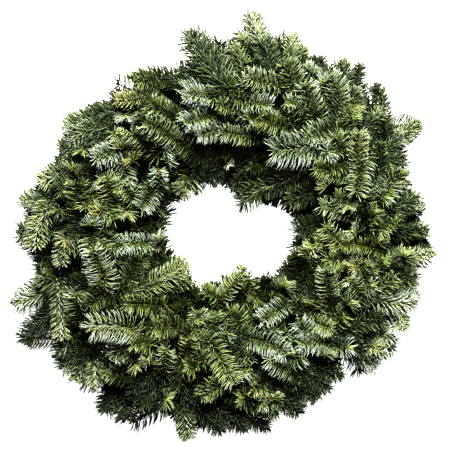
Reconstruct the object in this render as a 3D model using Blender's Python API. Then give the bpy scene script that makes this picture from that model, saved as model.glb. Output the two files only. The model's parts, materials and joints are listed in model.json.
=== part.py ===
"""A fresh evergreen wreath of noble fir, lying on its back with its front up.

Sixteen bunches of three sprigs, an outer, a crown and an inner one, are laid round a flat welded wire frame.
Their tips run anticlockwise, each bunch covers the stems of the next, and one length of wire is wound over the
stems and under the frame. A sprig is one woody core with side shoots, grown by extruding its faces, and its
needles are drawn out of the core's own faces, whorl by whorl. What would cross a neighbour is bent clear of it.
Metres, +Z up, with the ring's places in degrees anticlockwise from +X.
"""

import math
import random
from dataclasses import dataclass, field

import bmesh
import bpy
import numpy as np
from mathutils.bvhtree import BVHTree

MM = 0.001
UP = np.array((0.0, 0.0, 1.0))
GAP = 0.35 * MM

# The frame is two rings of round wire, welded on short cross wires that are the lowest things on the wreath.
RING_RADIUS = 172 * MM
RAIL_OFFSET = 8 * MM
RAIL_HEIGHT = 4.6 * MM
RAIL_HALF_WIDTH = 1.6 * MM
RAIL_SIDES = 6
RAIL_SEGMENTS = 40
CROSS_WIRES = 8
CROSS_WIRE_HALF_LENGTH = 9.9 * MM

# The binding wire makes one turn a bunch round this section: outward from the ring's middle, and height.
BINDING_TURN = (
    (0, 10.6), (8.6, 9.4), (12.2, 4.6), (8.6, 1.2), (0, 1.2), (-8.6, 1.2), (-12.2, 4.6), (-8.6, 9.4),
)
BINDING_RADIUS = 0.75 * MM

# The stems lie side by side between the rails, with the crown sprig's in the groove on top of the other two.
BUNCHES = 16
FIRST_CUT_END = 2.0
SEAT = {"outer": (3.7 * MM, 5.7 * MM), "crown": (0.0, 7.0 * MM), "inner": (-3.8 * MM, 5.7 * MM)}
SEAT_LENGTH = 42 * MM
SEAT_STEPS = 3
SEAT_RISE = 12.0
STEM_RADIUS = 2.2 * MM
TWIG_RADIUS = 1.5 * MM
BUD_LENGTH = 4 * MM

# Needles stand in whorls of eight, two to each side of the core, closest near the tips, where they show.
CORE_SIDES = 4
WHORL_LENGTH = 4 * MM
WHORLS_FROM_TIP = {"outer": (4, 19, 37, 58, 80), "crown": (4, 19, 37, 58, 80), "inner": (4, 19, 37, 58)}
SIDE_WHORLS_FROM_TIP = {"outer": (4, 21, 42), "crown": (4, 21, 42), "inner": (4, 22)}
WHORL_TWIST = 45.0
LONGEST_STRAIGHT = 21 * MM
NEEDLE_LENGTH = 23 * MM
NEEDLE_BASE = 1.1 * MM
NEEDLE_TIP = 0.15 * MM
NEEDLE_LEANS = (70.0, 46.0)
TIP_LEANS = (50.0, 28.0)
NEEDLE_SPREAD = 15.0
MATES_PART_FROM = 0.2
NEEDLE_BENDS = (
    (0, 0), (-12, 0), (12, 0), (0, 22), (0, -22), (-18, 22), (-18, -22), (10, 34), (10, -34), (-28, 0),
    (-8, 46), (-8, -46),
)
SHORTENED = (1.0, 0.8)
TIP_REACH = 13 * MM
STUNTED = 0.25

# A shoot keeps this much room round it where it bears needles, so that the sprays lie evenly.
SPRAY_ROOM = 7 * MM
ROOM_GROWS_OVER = 45 * MM
LOWEST_CORE = 7 * MM
SETTLE_STEPS = 140
HARD_STEPS = 40
STEP = 11 * MM

# The wreath's hole, kept clear of every needle: the lowest and highest x and y from the ring's middle.
HOLE = ((-62, 88), (-44, 30))

# Sprigs by bunch: place, colour, the spray's turn outward from the ring's run at its tip, then the place of its
# own tip and of its side shoots' tips, each in degrees round the ring, reach from its middle and height in mm.
SPRIGS = (
    (0, "outer", "deep", 35, (45, 292, 42), (30, 309, 32), (49, 240, 74)),
    (1, "outer", "deep", 42, (64, 278, 46), (55, 289, 36), (60, 236, 80)),
    (2, "outer", "fresh", 62, (84, 307, 56), (72, 293, 38), (76, 238, 78)),
    (3, "outer", "deep", 62, (101, 281, 60), (92, 275, 44), (98, 228, 80)),
    (4, "outer", "green", 52, (128, 266, 44), (117, 256, 36), (122, 226, 72)),
    (5, "outer", "green", 48, (149, 272, 46), (140, 268, 32), (143, 228, 74)),
    (6, "outer", "silver", 70, (172, 294, 46), (160, 268, 34), (166, 262, 66)),
    (7, "outer", "fresh", 78, (198, 310, 38), (181, 299, 34), (188, 270, 66)),
    (8, "outer", "green", 60, (219, 305, 42), (208, 327, 30), (213, 268, 68)),
    (9, "outer", "green", 68, (237, 313, 38), (226, 303, 32), (231, 276, 64)),
    (10, "outer", "deep", 58, (260, 294, 48), (243, 309, 34), (251, 266, 62)),
    (11, "outer", "green", 55, (279, 282, 42), (268, 284, 32), (272, 240, 74)),
    (12, "outer", "deep", 50, (301, 268, 42), (291, 274, 32), (296, 228, 74)),
    (13, "outer", "silver", 68, (326, 284, 44), (313, 282, 32), (319, 236, 74)),
    (14, "outer", "silver", 78, (353, 291, 48), (339, 288, 34), (345, 244, 72)),
    (15, "outer", "fresh", 84, (21, 274, 46), (5, 284, 34), (13, 242, 72)),
    (0, "crown", "fresh", 8, (44, 196, 116), (37, 232, 96), (50, 150, 106)),
    (1, "crown", "deep", 4, (64, 190, 118), (60, 228, 94), (68, 140, 104)),
    (2, "crown", "silver", 4, (87, 204, 114), (80, 236, 90), (82, 152, 112)),
    (3, "crown", "silver", 0, (110, 198, 116), (104, 234, 92), (114, 154, 110)),
    (4, "crown", "deep", 2, (131, 186, 118), (126, 226, 92), (132, 140, 104)),
    (5, "crown", "silver", 4, (152, 196, 116), (147, 234, 90), (158, 150, 110)),
    (6, "crown", "fresh", 6, (173, 196, 116), (168, 234, 92), (177, 152, 112)),
    (7, "crown", "silver", -12, (192, 184, 120), (186, 226, 96), (192, 142, 108)),
    (8, "crown", "silver", 20, (217, 212, 106), (208, 244, 86), (210, 162, 110)),
    (9, "crown", "silver", 6, (239, 188, 118), (236, 224, 98), (236, 150, 110)),
    (10, "crown", "green", 6, (260, 194, 116), (252, 238, 90), (255, 142, 110)),
    (11, "crown", "silver", 0, (282, 190, 118), (274, 234, 92), (272, 136, 108)),
    (12, "crown", "silver", -8, (304, 196, 116), (296, 236, 90), (298, 146, 112)),
    (13, "crown", "green", 0, (327, 194, 118), (319, 236, 92), (323, 150, 110)),
    (14, "crown", "green", -6, (350, 190, 118), (343, 236, 94), (344, 148, 112)),
    (15, "crown", "green", 6, (17, 196, 118), (9, 238, 92), (20, 152, 112)),
    (0, "inner", "deep", -42, (46, 86, 54), (48, 118, 84)),
    (1, "inner", "deep", -60, (66, 52, 66), (74, 96, 82)),
    (2, "inner", "deep", -36, (90, 76, 50), (95, 110, 82)),
    (3, "inner", "green", -36, (113, 74, 52), (116, 112, 86)),
    (4, "inner", "deep", -36, (135, 82, 52), (137, 118, 84)),
    (5, "inner", "green", -36, (157, 84, 52), (160, 118, 86)),
    (6, "inner", "silver", -36, (180, 86, 52), (182, 120, 86)),
    (7, "inner", "fresh", -44, (201, 84, 60), (196, 116, 90)),
    (8, "inner", "green", -54, (223, 72, 76), (219, 112, 90)),
    (9, "inner", "deep", -44, (246, 92, 62), (242, 122, 88)),
    (10, "inner", "green", -44, (270, 100, 60), (264, 126, 90)),
    (11, "inner", "fresh", -58, (298, 66, 74), (288, 112, 90)),
    (12, "inner", "deep", -50, (313, 88, 54), (312, 120, 86)),
    (13, "inner", "deep", -44, (336, 100, 52), (334, 130, 86)),
    (14, "inner", "deep", -44, (0, 98, 52), (3, 128, 90)),
    (15, "inner", "deep", -44, (24, 96, 50), (26, 128, 88)),
)
TIP_RISE = {"outer": 8.0, "crown": 20.0, "inner": 12.0}
PULL = {"outer": 1.15, "crown": 1.0, "inner": 1.05}

TONES = {
    "deep": (0.020, 0.050, 0.017),
    "green": (0.048, 0.095, 0.030),
    "silver": (0.120, 0.175, 0.130),
    "fresh": (0.105, 0.160, 0.040),
}


@dataclass(eq=False)
class Shoot:
    """One unbranched shoot: where its points are in the shared list, and the shoot that it grows from."""

    sprig: int
    kind: str
    points: list
    parent: "Shoot" = None
    root: int = 0
    sides: list = field(default_factory=list)


def unit(vector):
    return vector / max(np.linalg.norm(vector), 1e-12)


def on_ring(degrees, reach, height=0.0):
    """A place round the ring: degrees, distance from the ring's middle and height."""
    angle = math.radians(degrees)
    return np.array((reach * math.cos(angle), reach * math.sin(angle), height))


def place_of(tip):
    """The place that a row of SPRIGS gives for a tip: degrees, reach in mm and height in mm."""
    degrees, reach, height = tip
    return on_ring(degrees, reach * MM, height * MM)


def heading(degrees, turn, rise):
    """A direction at a place round the ring: the ring's own run, turned outward and tilted up."""
    run = on_ring(degrees + 90 - turn, 1.0)
    return math.cos(math.radians(rise)) * run + math.sin(math.radians(rise)) * UP


def cut_end(bunch, role="outer"):
    """Where a sprig's stem begins. The longer crown sprigs start a bunch further back."""
    return FIRST_CUT_END + (bunch - (role == "crown")) * 360 / BUNCHES


def along_ring(length):
    """The degrees that a length takes along the ring's middle line."""
    return math.degrees(length / RING_RADIUS)


def bend(start, start_run, end, end_run, pull, steps):
    """Points of a smooth curve between two places that leaves and arrives in the given directions."""
    reach = pull * np.linalg.norm(end - start)
    t = np.linspace(0, 1, steps + 1)[:, None]
    return (
        (2 * t**3 - 3 * t**2 + 1) * start
        + (t**3 - 2 * t**2 + t) * reach * start_run
        + (3 * t**2 - 2 * t**3) * end
        + (t**3 - t**2) * reach * end_run
    )


def main_path(bunch, role, turn, tip):
    """A sprig's middle line: its bare stem along the frame, then a bend out to its tip."""
    offset, height = SEAT[role]
    seat = [
        on_ring(cut_end(bunch, role) + along_ring(SEAT_LENGTH) * i / SEAT_STEPS, RING_RADIUS + offset, height)
        for i in range(SEAT_STEPS + 1)
    ]
    leaving = heading(cut_end(bunch, role) + along_ring(SEAT_LENGTH), 0, SEAT_RISE)
    arriving = heading(tip[0], turn, TIP_RISE[role])
    end = place_of(tip) - TIP_REACH * arriving
    steps = max(6, round(1.1 * np.linalg.norm(end - seat[-1]) / STEP))
    return np.array(seat + list(bend(seat[-1], leaving, end, arriving, PULL[role], steps)[1:]))


def choose_root(path, tip, taken):
    """The point of the main path that a side shoot leaves from, so that it leans forward at about 45 degrees."""
    best, chosen = None, None
    for i in range(SEAT_STEPS + 3, len(path) - 2):
        if any(abs(i - other) < 2 for other in taken):
            continue
        out = tip - path[i]
        length = np.linalg.norm(out)
        angle = math.degrees(math.acos(np.clip(unit(path[i + 1] - path[i - 1]) @ out / length, -1, 1)))
        cost = ((angle - 46) / 12) ** 2 + ((length - 62 * MM) / (16 * MM)) ** 2
        if best is None or cost < best:
            best, chosen = cost, i
    return chosen


def side_path(main, root, tip):
    """A side shoot's points after its root: out from the main shoot, then swept forward."""
    run = unit(main[root + 1] - main[root - 1])
    out = unit(tip - main[root])
    arriving = unit(out + 0.25 * run)
    end = tip - TIP_REACH * arriving
    steps = max(4, round(np.linalg.norm(end - main[root]) / STEP))
    return bend(main[root], unit(out + 0.1 * run), end, arriving, 0.9, steps)[1:]


def lay_out():
    """Every shoot, with the shared list of their points and whether each point may move."""
    shoots, points, free = [], [], []
    for number, (bunch, role, _, turn, tip, *sides) in enumerate(SPRIGS):
        path = main_path(bunch, role, turn, tip)
        main = Shoot(number, "main", list(range(len(points), len(points) + len(path))))
        points.extend(path)
        free.extend([0.0] * (SEAT_STEPS + 1) + [1.0] * (len(path) - SEAT_STEPS - 1))
        shoots.append(main)
        taken = []
        for side in sides:
            root = choose_root(path, place_of(side), taken)
            taken.append(root)
            branch = side_path(path, root, place_of(side))
            indices = [main.points[root]] + list(range(len(points), len(points) + len(branch)))
            shoot = Shoot(number, "side", indices, main, root)
            points.extend(branch)
            free.extend([1.0] * len(branch))
            main.sides.append(shoot)
            shoots.append(shoot)
    return shoots, np.array(points), np.array(free)


def rail_points(offset):
    """One rail's corners. A whole segment straddles +Y, so that its sides there face straight in and out."""
    half = 180 / RAIL_SEGMENTS
    return [
        on_ring(90 + half + i * 2 * half, RING_RADIUS + offset, RAIL_HEIGHT) for i in range(RAIL_SEGMENTS)
    ]


def cross_wire_ends(number):
    """A cross wire's two ends, under the middle of a bunch's stems, where the binding wire is on top."""
    angle = cut_end(number * BUNCHES // CROSS_WIRES) + along_ring(SEAT_LENGTH / 2)
    return [
        on_ring(angle, RING_RADIUS + side * CROSS_WIRE_HALF_LENGTH, RAIL_HALF_WIDTH) for side in (-1, 1)
    ]


def binding_points():
    """The binding wire's turns, each on top at the middle of a bunch's stems."""
    pitch = 360 / BUNCHES / len(BINDING_TURN)
    start = cut_end(0) + along_ring(SEAT_LENGTH / 2)
    count = BUNCHES * len(BINDING_TURN) - 2
    places = []
    for i in range(count):
        outward, height = BINDING_TURN[i % len(BINDING_TURN)]
        places.append(on_ring(start + i * pitch, RING_RADIUS + outward * MM, height * MM))
    return places


def wires():
    """The segments of the frame and the binding wire, each with its radius, that the shoots keep clear of."""
    runs = [(rail_points(side * RAIL_OFFSET), RAIL_HALF_WIDTH * 1.16, True) for side in (-1, 1)]
    runs += [(cross_wire_ends(i), RAIL_HALF_WIDTH * 1.16, False) for i in range(CROSS_WIRES)]
    runs.append((binding_points(), BINDING_RADIUS, False))
    segments = []
    for points, radius, closed in runs:
        ends = points[1:] + points[:1] if closed else points[1:]
        segments.extend((a, b, radius) for a, b in zip(points, ends))
    return segments


def closest(a0, a1, b0, b1):
    """Between segments a and b: how far along each the closest points lie, and the vector from b to a."""
    run_a, run_b, apart = a1 - a0, b1 - b0, a0 - b0
    aa, bb, ab = (run_a**2).sum(-1), (run_b**2).sum(-1), (run_a * run_b).sum(-1)
    a_gap, b_gap = (run_a * apart).sum(-1), (run_b * apart).sum(-1)
    square = np.maximum(aa * bb - ab * ab, 1e-18)
    s = np.clip((ab * b_gap - a_gap * bb) / square, 0, 1)
    t = np.clip((ab * s + b_gap) / bb, 0, 1)
    s = np.clip((ab * t - a_gap) / aa, 0, 1)
    return s, t, a0 + s[..., None] * run_a - b0 - t[..., None] * run_b


def room_along(points, shoot):
    """The room that each segment of a shoot keeps, from its bare radius at the stem to its spray's."""
    lengths = np.linalg.norm(np.diff(points[shoot.points], axis=0), axis=1)
    start = SEAT_LENGTH if shoot.kind == "main" else 0.0
    gone = np.clip((np.cumsum(lengths) - start) / ROOM_GROWS_OVER, 0, 1)
    bare = STEM_RADIUS + GAP / 2
    return bare + (SPRAY_ROOM - bare) * gone


def may_touch(one, other):
    """Whether two (shoot, segment) pairs are neighbours by growth, which never push each other."""
    (a, i), (b, j) = one, other
    if a is b:
        return abs(i - j) < 4
    if a.parent is b:
        return i < 2 and abs(j + 0.5 - a.root) < 2.5
    if b.parent is a:
        return j < 2 and abs(i + 0.5 - b.root) < 2.5
    return False


def settle(shoots, points, free):
    """Bends the shoots clear of each other and of the wires, and keeps them smooth, as a hand would lay them."""
    owners, first, last, room = [], [], [], []
    for shoot in shoots:
        spaces = room_along(points, shoot)
        for i, (a, b) in enumerate(zip(shoot.points, shoot.points[1:])):
            owners.append((shoot, i))
            first.append(a)
            last.append(b)
            room.append(spaces[i])
    wire = wires()
    ends = np.array([[a, b] for a, b, _ in wire])
    points = np.vstack((points, ends.reshape(-1, 3)))
    movable = np.concatenate((free, np.zeros(2 * len(wire))))
    for i, (_, _, radius) in enumerate(wire):
        owners.append(None)
        first.append(len(free) + 2 * i)
        last.append(len(free) + 2 * i + 1)
        room.append(radius + 3 * GAP)
    first, last, room = np.array(first), np.array(last), np.array(room)
    stiff = movable[first] + movable[last] == 0
    rest = points.copy()
    middle = [i for shoot in shoots for i in shoot.points[1:-1]]
    before = [i for shoot in shoots for i in shoot.points[:-2]]
    after = [i for shoot in shoots for i in shoot.points[2:]]
    neighbours = {}
    for step in range(SETTLE_STEPS + HARD_STEPS):
        hard = step >= SETTLE_STEPS
        if step % 8 == 0:
            centre = (points[first] + points[last]) / 2
            spread = np.linalg.norm(points[last] - points[first], axis=1) / 2
            one, other = np.nonzero(np.triu(
                np.linalg.norm(centre[:, None] - centre[None], axis=2)
                < spread[:, None] + spread[None] + 24 * MM, 1
            ))
            keep = ~(stiff[one] & stiff[other])
            one, other = one[keep], other[keep]
            for a, b in zip(one, other):
                if (a, b) not in neighbours:
                    grown = owners[a] is not None and owners[b] is not None
                    neighbours[a, b] = grown and may_touch(owners[a], owners[b])
            keep = np.array([not neighbours[a, b] for a, b in zip(one, other)])
            one, other = one[keep], other[keep]
        s, t, away = closest(points[first[one]], points[last[one]], points[first[other]], points[last[other]])
        distance = np.maximum(np.linalg.norm(away, axis=1), 1e-6)
        wanted = room[one] + room[other]
        if hard:
            wanted = np.minimum(wanted, 2 * STEM_RADIUS + 1.5 * MM)
        push = (np.clip(wanted - distance, 0, None) * 0.5 / distance)[:, None] * away
        move = np.zeros_like(points)
        for which, along, sign in ((one, s, 1), (other, t, -1)):
            np.add.at(move, first[which], sign * push * (1 - along)[:, None])
            np.add.at(move, last[which], sign * push * along[:, None])
        size = np.linalg.norm(move, axis=1, keepdims=True)
        move *= np.minimum(1, 3 * MM / np.maximum(size, 1e-9))
        points += move * movable[:, None]
        even = (points[before] + points[after]) / 2 - points[middle]
        bent = np.zeros_like(points)
        np.add.at(bent, middle, (0.12 if hard else 0.35) * even)
        points += bent * movable[:, None]
        if not hard:
            points += 0.04 * (rest - points) * movable[:, None]
        points[:, 2] = np.where(movable > 0, np.maximum(points[:, 2], LOWEST_CORE), points[:, 2])
    return points[: len(free)]


class Clearance:
    """What a new needle has to miss: the wires, the shoots' cores and the needles that are already there."""

    def __init__(self, shoots, points):
        rows = [(a, b, radius, radius, None) for a, b, radius in wires()]
        for shoot in shoots:
            radius = STEM_RADIUS if shoot.kind == "main" else TWIG_RADIUS
            for i, (a, b) in enumerate(zip(shoot.points, shoot.points[1:])):
                rows.append((points[a], points[b], radius, radius, (shoot, "root" if i == 0 else "length")))
        self.start = [np.array(row[0]) for row in rows]
        self.end = [np.array(row[1]) for row in rows]
        self.thick = [row[2:4] for row in rows]
        self.owner = [row[4] for row in rows]

    def near(self, place, reach, skipped, whorl):
        """What lies within reach. A needle of the same whorl counts only from where it has parted from its mates."""
        start, end = np.array(self.start), np.array(self.end)
        distance = np.linalg.norm((start + end) / 2 - place, axis=1) - np.linalg.norm(end - start, axis=1) / 2
        chosen = [i for i in np.nonzero(distance < reach)[0] if self.owner[i] not in skipped]
        start, end = start[chosen], end[chosen]
        mates = np.array([self.owner[i] == whorl for i in chosen], bool)
        start = np.where(mates[:, None], start + MATES_PART_FROM * (end - start), start)
        return start, end, np.array([self.thick[i] for i in chosen]).reshape(-1, 2), mates

    def add(self, start, end, owner):
        self.start.append(start)
        self.end.append(end)
        self.thick.append((NEEDLE_BASE, NEEDLE_TIP))
        self.owner.append(owner)


def in_hole(places):
    low, high = np.array(HOLE).T * MM
    return ((places[..., :2] > low) & (places[..., :2] < high)).all(axis=-1).any(axis=-1)


def clear_needle(clearance, base, outward, run, lean, sway, length, skipped, whorl):
    """The tip of the first needle, of several leans, that misses everything, or None."""
    across = np.cross(run, outward)
    start, end, thick, mates = clearance.near(base, 2 * NEEDLE_LENGTH, skipped, whorl)
    for share in SHORTENED:
        for more_lean, more_sway in NEEDLE_BENDS:
            angle = math.radians(lean + more_lean)
            turn = math.radians(sway + more_sway)
            side = math.cos(turn) * outward + math.sin(turn) * across
            tip = base + share * length * (math.cos(angle) * run + math.sin(angle) * side)
            if tip[2] < 1 * MM or in_hole(np.linspace(base, tip, 5)):
                continue
            first = np.where(mates[:, None], base + MATES_PART_FROM * (tip - base), base)
            s, t, away = closest(first, tip[None], start, end)
            needed = GAP + NEEDLE_BASE + (NEEDLE_TIP - NEEDLE_BASE) * s
            needed = needed + thick[:, 0] + (thick[:, 1] - thick[:, 0]) * t
            if (np.linalg.norm(away, axis=1) > needed).all():
                return tip
    return None


def ring_of(place, run, side, radius, turn):
    """The corners of a core's cross-section."""
    other = np.cross(run, side)
    angles = [math.radians(turn + i * 360 / CORE_SIDES) for i in range(CORE_SIDES)]
    return [place + radius * (math.cos(a) * side + math.sin(a) * other) for a in angles]


def first_length(bm, ring_a, ring_b):
    """A closed short length of core between two rings. Returns its far end face."""
    back = [bm.verts.new(place) for place in ring_a]
    front = [bm.verts.new(place) for place in ring_b]
    bm.faces.new(back[::-1])
    for i in range(CORE_SIDES):
        j = (i + 1) % CORE_SIDES
        bm.faces.new((back[i], back[j], front[j], front[i]))
    return bm.faces.new(front)


def extend(bm, end_face, ring):
    """Extrudes the core's end face on to the next ring. Returns the new end and the faces beside it."""
    new_end = bmesh.ops.extrude_discrete_faces(bm, faces=[end_face])["faces"][0]
    for corner, place in zip(new_end.verts, nearest_turn(new_end.verts, ring)):
        corner.co = place
    beside = [next(face for face in edge.link_faces if face is not new_end) for edge in new_end.edges]
    for each in beside:
        each.normal_update()
    return new_end, beside


def nearest_turn(corners, ring):
    """The ring's places, started at whichever of them leaves the new length of core least twisted."""
    held = np.array([corner.co for corner in corners])
    held = held - held.mean(axis=0)
    starts = [np.roll(np.array(ring), k, axis=0) for k in range(CORE_SIDES)]
    return min(starts, key=lambda places: ((held - places + places.mean(axis=0)) ** 2).sum())


def stations(length, shoot, roots):
    """Distances along a shoot where its section changes, and whether a whorl of needles ends there."""
    role = SPRIGS[shoot.sprig][1]
    from_tip = (WHORLS_FROM_TIP if shoot.kind == "main" else SIDE_WHORLS_FROM_TIP)[role]
    whorls = [length - gap * MM for gap in from_tip]
    for root in roots:
        nearest = min(range(1, len(whorls)), key=lambda i: abs(whorls[i] - root))
        whorls[nearest] = root
    places = [(SEAT_LENGTH / 2, False), (SEAT_LENGTH, False)] if shoot.kind == "main" else []
    for middle in sorted(whorls):
        start, end = middle - WHORL_LENGTH / 2, middle + WHORL_LENGTH / 2
        last = places[-1][0] if places else 0.0
        if start > last + WHORL_LENGTH:
            lengths = math.ceil((start - last) / LONGEST_STRAIGHT)
            places += [(last + (start - last) * i / lengths, False) for i in range(1, lengths + 1)]
            places.append((end, True))
    return places


def grow_shoot(bm, shoot, points, face=None):
    """Extrudes one shoot and its side shoots. Returns the faces that bear needles, each with the shoot's place and
    run there, the needles' leans, the shoots that those needles need not miss, and the whorl that they are in."""
    path = points[shoot.points]
    gone = np.concatenate(((0,), np.cumsum(np.linalg.norm(np.diff(path, axis=0), axis=1))))
    length = gone[-1]
    roots = {side: gone[side.root] for side in shoot.sides}
    thick, thin = (STEM_RADIUS, TWIG_RADIUS) if shoot.kind == "main" else (TWIG_RADIUS, 0.8 * TWIG_RADIUS)

    def at(distance):
        place = np.array([np.interp(distance, gone, path[:, axis]) for axis in range(3)])
        ahead = np.array([np.interp(min(distance + STEP / 2, length), gone, path[:, axis]) for axis in range(3)])
        behind = np.array([np.interp(max(distance - STEP / 2, 0), gone, path[:, axis]) for axis in range(3)])
        return place, unit(ahead - behind)

    place, run = at(0)
    side = unit(np.cross(run, UP))
    turn = 0.0
    whorls = []
    places = stations(length, shoot, roots.values())
    if face is None:
        next_place, next_run = at(places[0][0])
        next_side = unit(side - next_run * (side @ next_run))
        face = first_length(
            bm,
            ring_of(place, run, side, thick, 0),
            ring_of(next_place, next_run, next_side, thick, 0),
        )
        side, places = next_side, places[1:]
    for number, (distance, whorl) in enumerate(places):
        place, run = at(distance)
        side = unit(side - run * (side @ run))
        if number + 1 < len(places) and places[number + 1][1]:
            turn += WHORL_TWIST
        radius = thick + (thin - thick) * distance / length
        face, beside = extend(bm, face, ring_of(place, run, side, radius, turn))
        if not whorl:
            continue
        middle = distance - WHORL_LENGTH / 2
        grown = [each for each, root in roots.items() if abs(root - middle) < 0.1 * MM]
        for each in grown:
            out = unit(points[each.points[1]] - points[each.points[0]])
            base = max(beside, key=lambda f: np.array(f.normal) @ out)
            beside.remove(base)
            whorls += grow_shoot(bm, each, points, base)
        leans = TIP_LEANS if distance > length - 2 * WHORL_LENGTH else NEEDLE_LEANS
        skipped = [(shoot, "root"), (shoot, "length")] + [(each, "root") for each in grown]
        whorls += [(f, place, run, leans, skipped, (shoot, distance)) for f in beside]
    bud = bmesh.ops.poke(bm, faces=[face])["verts"][0]
    bud.co = path[-1] + BUD_LENGTH * run
    return whorls


def stunt_crossed(bm, bases):
    """Draws in each needle that still cuts another of its own sprig beside its root."""
    crossed = True
    while crossed:
        bm.faces.ensure_lookup_table()
        bm.faces.index_update()
        tree = BVHTree.FromBMesh(bm)
        crossed = set()
        for a, b in tree.overlap(tree):
            corners = [*bm.faces[a].verts, *bm.faces[b].verts]
            if a < b and len(set(corners)) == len(corners):
                crossed.add(next(corner for corner in corners if corner in bases))
        for tip in crossed:
            tip.co = bases[tip] + STUNTED * (np.array(tip.co) - bases[tip])


def grow_sprig(shoot, points, clearance, rng):
    """One sprig as a closed mesh: core, side shoots and every needle that finds room."""
    bm = bmesh.new()
    bases = {}
    for face, place, run, leans, skipped, whorl in grow_shoot(bm, shoot, points):
        halves = bmesh.ops.triangulate(bm, faces=[face])["faces"]
        halves.sort(key=lambda half: (np.array(half.calc_center_median()) - place) @ run)
        for half, lean, sway in zip(halves, leans, (-NEEDLE_SPREAD, NEEDLE_SPREAD)):
            base = np.array(half.calc_center_median())
            outward = base - place
            outward = unit(outward - run * (outward @ run))
            lean += rng.uniform(-6, 6)
            sway += rng.uniform(-6, 6)
            length = NEEDLE_LENGTH * rng.uniform(0.88, 1.08)
            tip = clear_needle(clearance, base, outward, run, lean, sway, length, skipped, whorl)
            if tip is None:
                continue
            point = bmesh.ops.poke(bm, faces=[half])["verts"][0]
            point.co = tip
            bases[point] = base
            clearance.add(base, tip, whorl)
    stunt_crossed(bm, bases)
    return bm


def tube(bm, places, radius, sides, closed, first_corner):
    """A wire of straight lengths through the places, with closed ends unless it is a ring."""
    places = [np.array(place) for place in places]
    count = len(places)
    rings = []
    for i, place in enumerate(places):
        behind = places[i - 1] if closed or i else place
        ahead = places[(i + 1) % count] if closed or i < count - 1 else place
        run = unit(ahead - behind)
        across = unit(np.cross(run, UP))
        upward = np.cross(across, run)
        angles = [math.radians(first_corner + k * 360 / sides) for k in range(sides)]
        rings.append([
            bm.verts.new(place + radius * (math.cos(a) * across + math.sin(a) * upward)) for a in angles
        ])
    for i in range(count if closed else count - 1):
        ring, following = rings[i], rings[(i + 1) % count]
        for k in range(sides):
            j = (k + 1) % sides
            bm.faces.new((ring[k], ring[j], following[j], following[k]))
    if not closed:
        bm.faces.new(rings[0][::-1])
        bm.faces.new(rings[-1])
    bmesh.ops.recalc_face_normals(bm, faces=bm.faces)


def surface(name, colour, roughness, metallic):
    material = bpy.data.materials.get(name) or bpy.data.materials.new(name)
    material.use_nodes = True
    shader = material.node_tree.nodes["Principled BSDF"]
    shader.inputs["Base Color"].default_value = (*colour, 1)
    shader.inputs["Roughness"].default_value = roughness
    shader.inputs["Metallic"].default_value = metallic
    material.diffuse_color = (*colour, 1)
    return material


def named_object(name, bm, material, parent):
    mesh = bpy.data.meshes.new(name)
    bm.to_mesh(mesh)
    bm.free()
    mesh.materials.append(material)
    thing = bpy.data.objects.new(name, mesh)
    thing.parent = parent
    bpy.context.scene.collection.objects.link(thing)
    return thing


def wire_frame(parent):
    """Both rails and the cross wires, welded into one piece."""
    steel = surface("green_enamelled_steel", (0.03, 0.06, 0.035), 0.4, 0.0)
    corner_radius = RAIL_HALF_WIDTH / math.cos(math.pi / RAIL_SIDES)
    rail = bmesh.new()
    tube(rail, rail_points(-RAIL_OFFSET), corner_radius, RAIL_SIDES, True, 30)
    frame = named_object("wire_frame", rail, steel, parent)
    welded = bpy.data.collections.new("welded_wires")
    bpy.context.scene.collection.children.link(welded)
    pieces = [(rail_points(RAIL_OFFSET), True, 30)]
    pieces += [(cross_wire_ends(i), False, 0) for i in range(CROSS_WIRES)]
    for places, closed, first_corner in pieces:
        wire = bmesh.new()
        tube(wire, places, corner_radius, RAIL_SIDES, closed, first_corner)
        helper = named_object("welded_wire", wire, steel, parent)
        bpy.context.scene.collection.objects.unlink(helper)
        welded.objects.link(helper)
    union = frame.modifiers.new("weld", "BOOLEAN")
    union.operation = "UNION"
    union.operand_type = "COLLECTION"
    union.collection = welded
    bpy.context.view_layer.update()
    joined = bpy.data.meshes.new_from_object(frame.evaluated_get(bpy.context.evaluated_depsgraph_get()))
    frame.modifiers.remove(union)
    frame.data = joined
    for helper in list(welded.objects):
        bpy.data.objects.remove(helper)
    bpy.data.collections.remove(welded)
    frame.data.shade_smooth()
    frame.data.set_sharp_from_angle(angle=math.radians(70))
    return frame


def binding_wire(parent):
    bm = bmesh.new()
    tube(bm, binding_points(), BINDING_RADIUS, 4, False, 45)
    wire = named_object("binding_wire", bm, surface("paddle_wire", (0.05, 0.09, 0.05), 0.35, 0.6), parent)
    wire.data.shade_smooth()
    return wire


def sprigs(parent):
    shoots, points, free = lay_out()
    points = settle(shoots, points, free)
    clearance = Clearance(shoots, points)
    for main in (shoot for shoot in shoots if shoot.kind == "main"):
        bunch, role, tone = SPRIGS[main.sprig][:3]
        bm = grow_sprig(main, points, clearance, random.Random(main.sprig))
        needles = surface(f"fir_{tone}", TONES[tone], 0.55, 0.0)
        named_object(f"{role}_sprig_{bunch + 1:02d}", bm, needles, parent)


def centre_on_floor(wreath):
    """Moves the whole wreath so that its box stands centred over the origin."""
    bpy.context.view_layer.update()
    corners = np.array([corner.co for thing in wreath.children for corner in thing.data.vertices])
    low, high = corners.min(axis=0), corners.max(axis=0)
    wreath.location = (-(low[0] + high[0]) / 2, -(low[1] + high[1]) / 2, 0)


def main():
    for thing in list(bpy.data.objects):
        bpy.data.objects.remove(thing)
    wreath = bpy.data.objects.new("wreath", None)
    bpy.context.scene.collection.objects.link(wreath)
    wire_frame(wreath)
    binding_wire(wreath)
    sprigs(wreath)
    centre_on_floor(wreath)


main()
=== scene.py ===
"""How the fresh fir wreath looks: every shoot with all its needles, its bark and its buds, on the shoots' own
lines, round wires for the frame and the binding, a lit opal table, soft light and a camera straight above."""

import json
import math
from dataclasses import dataclass

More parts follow.
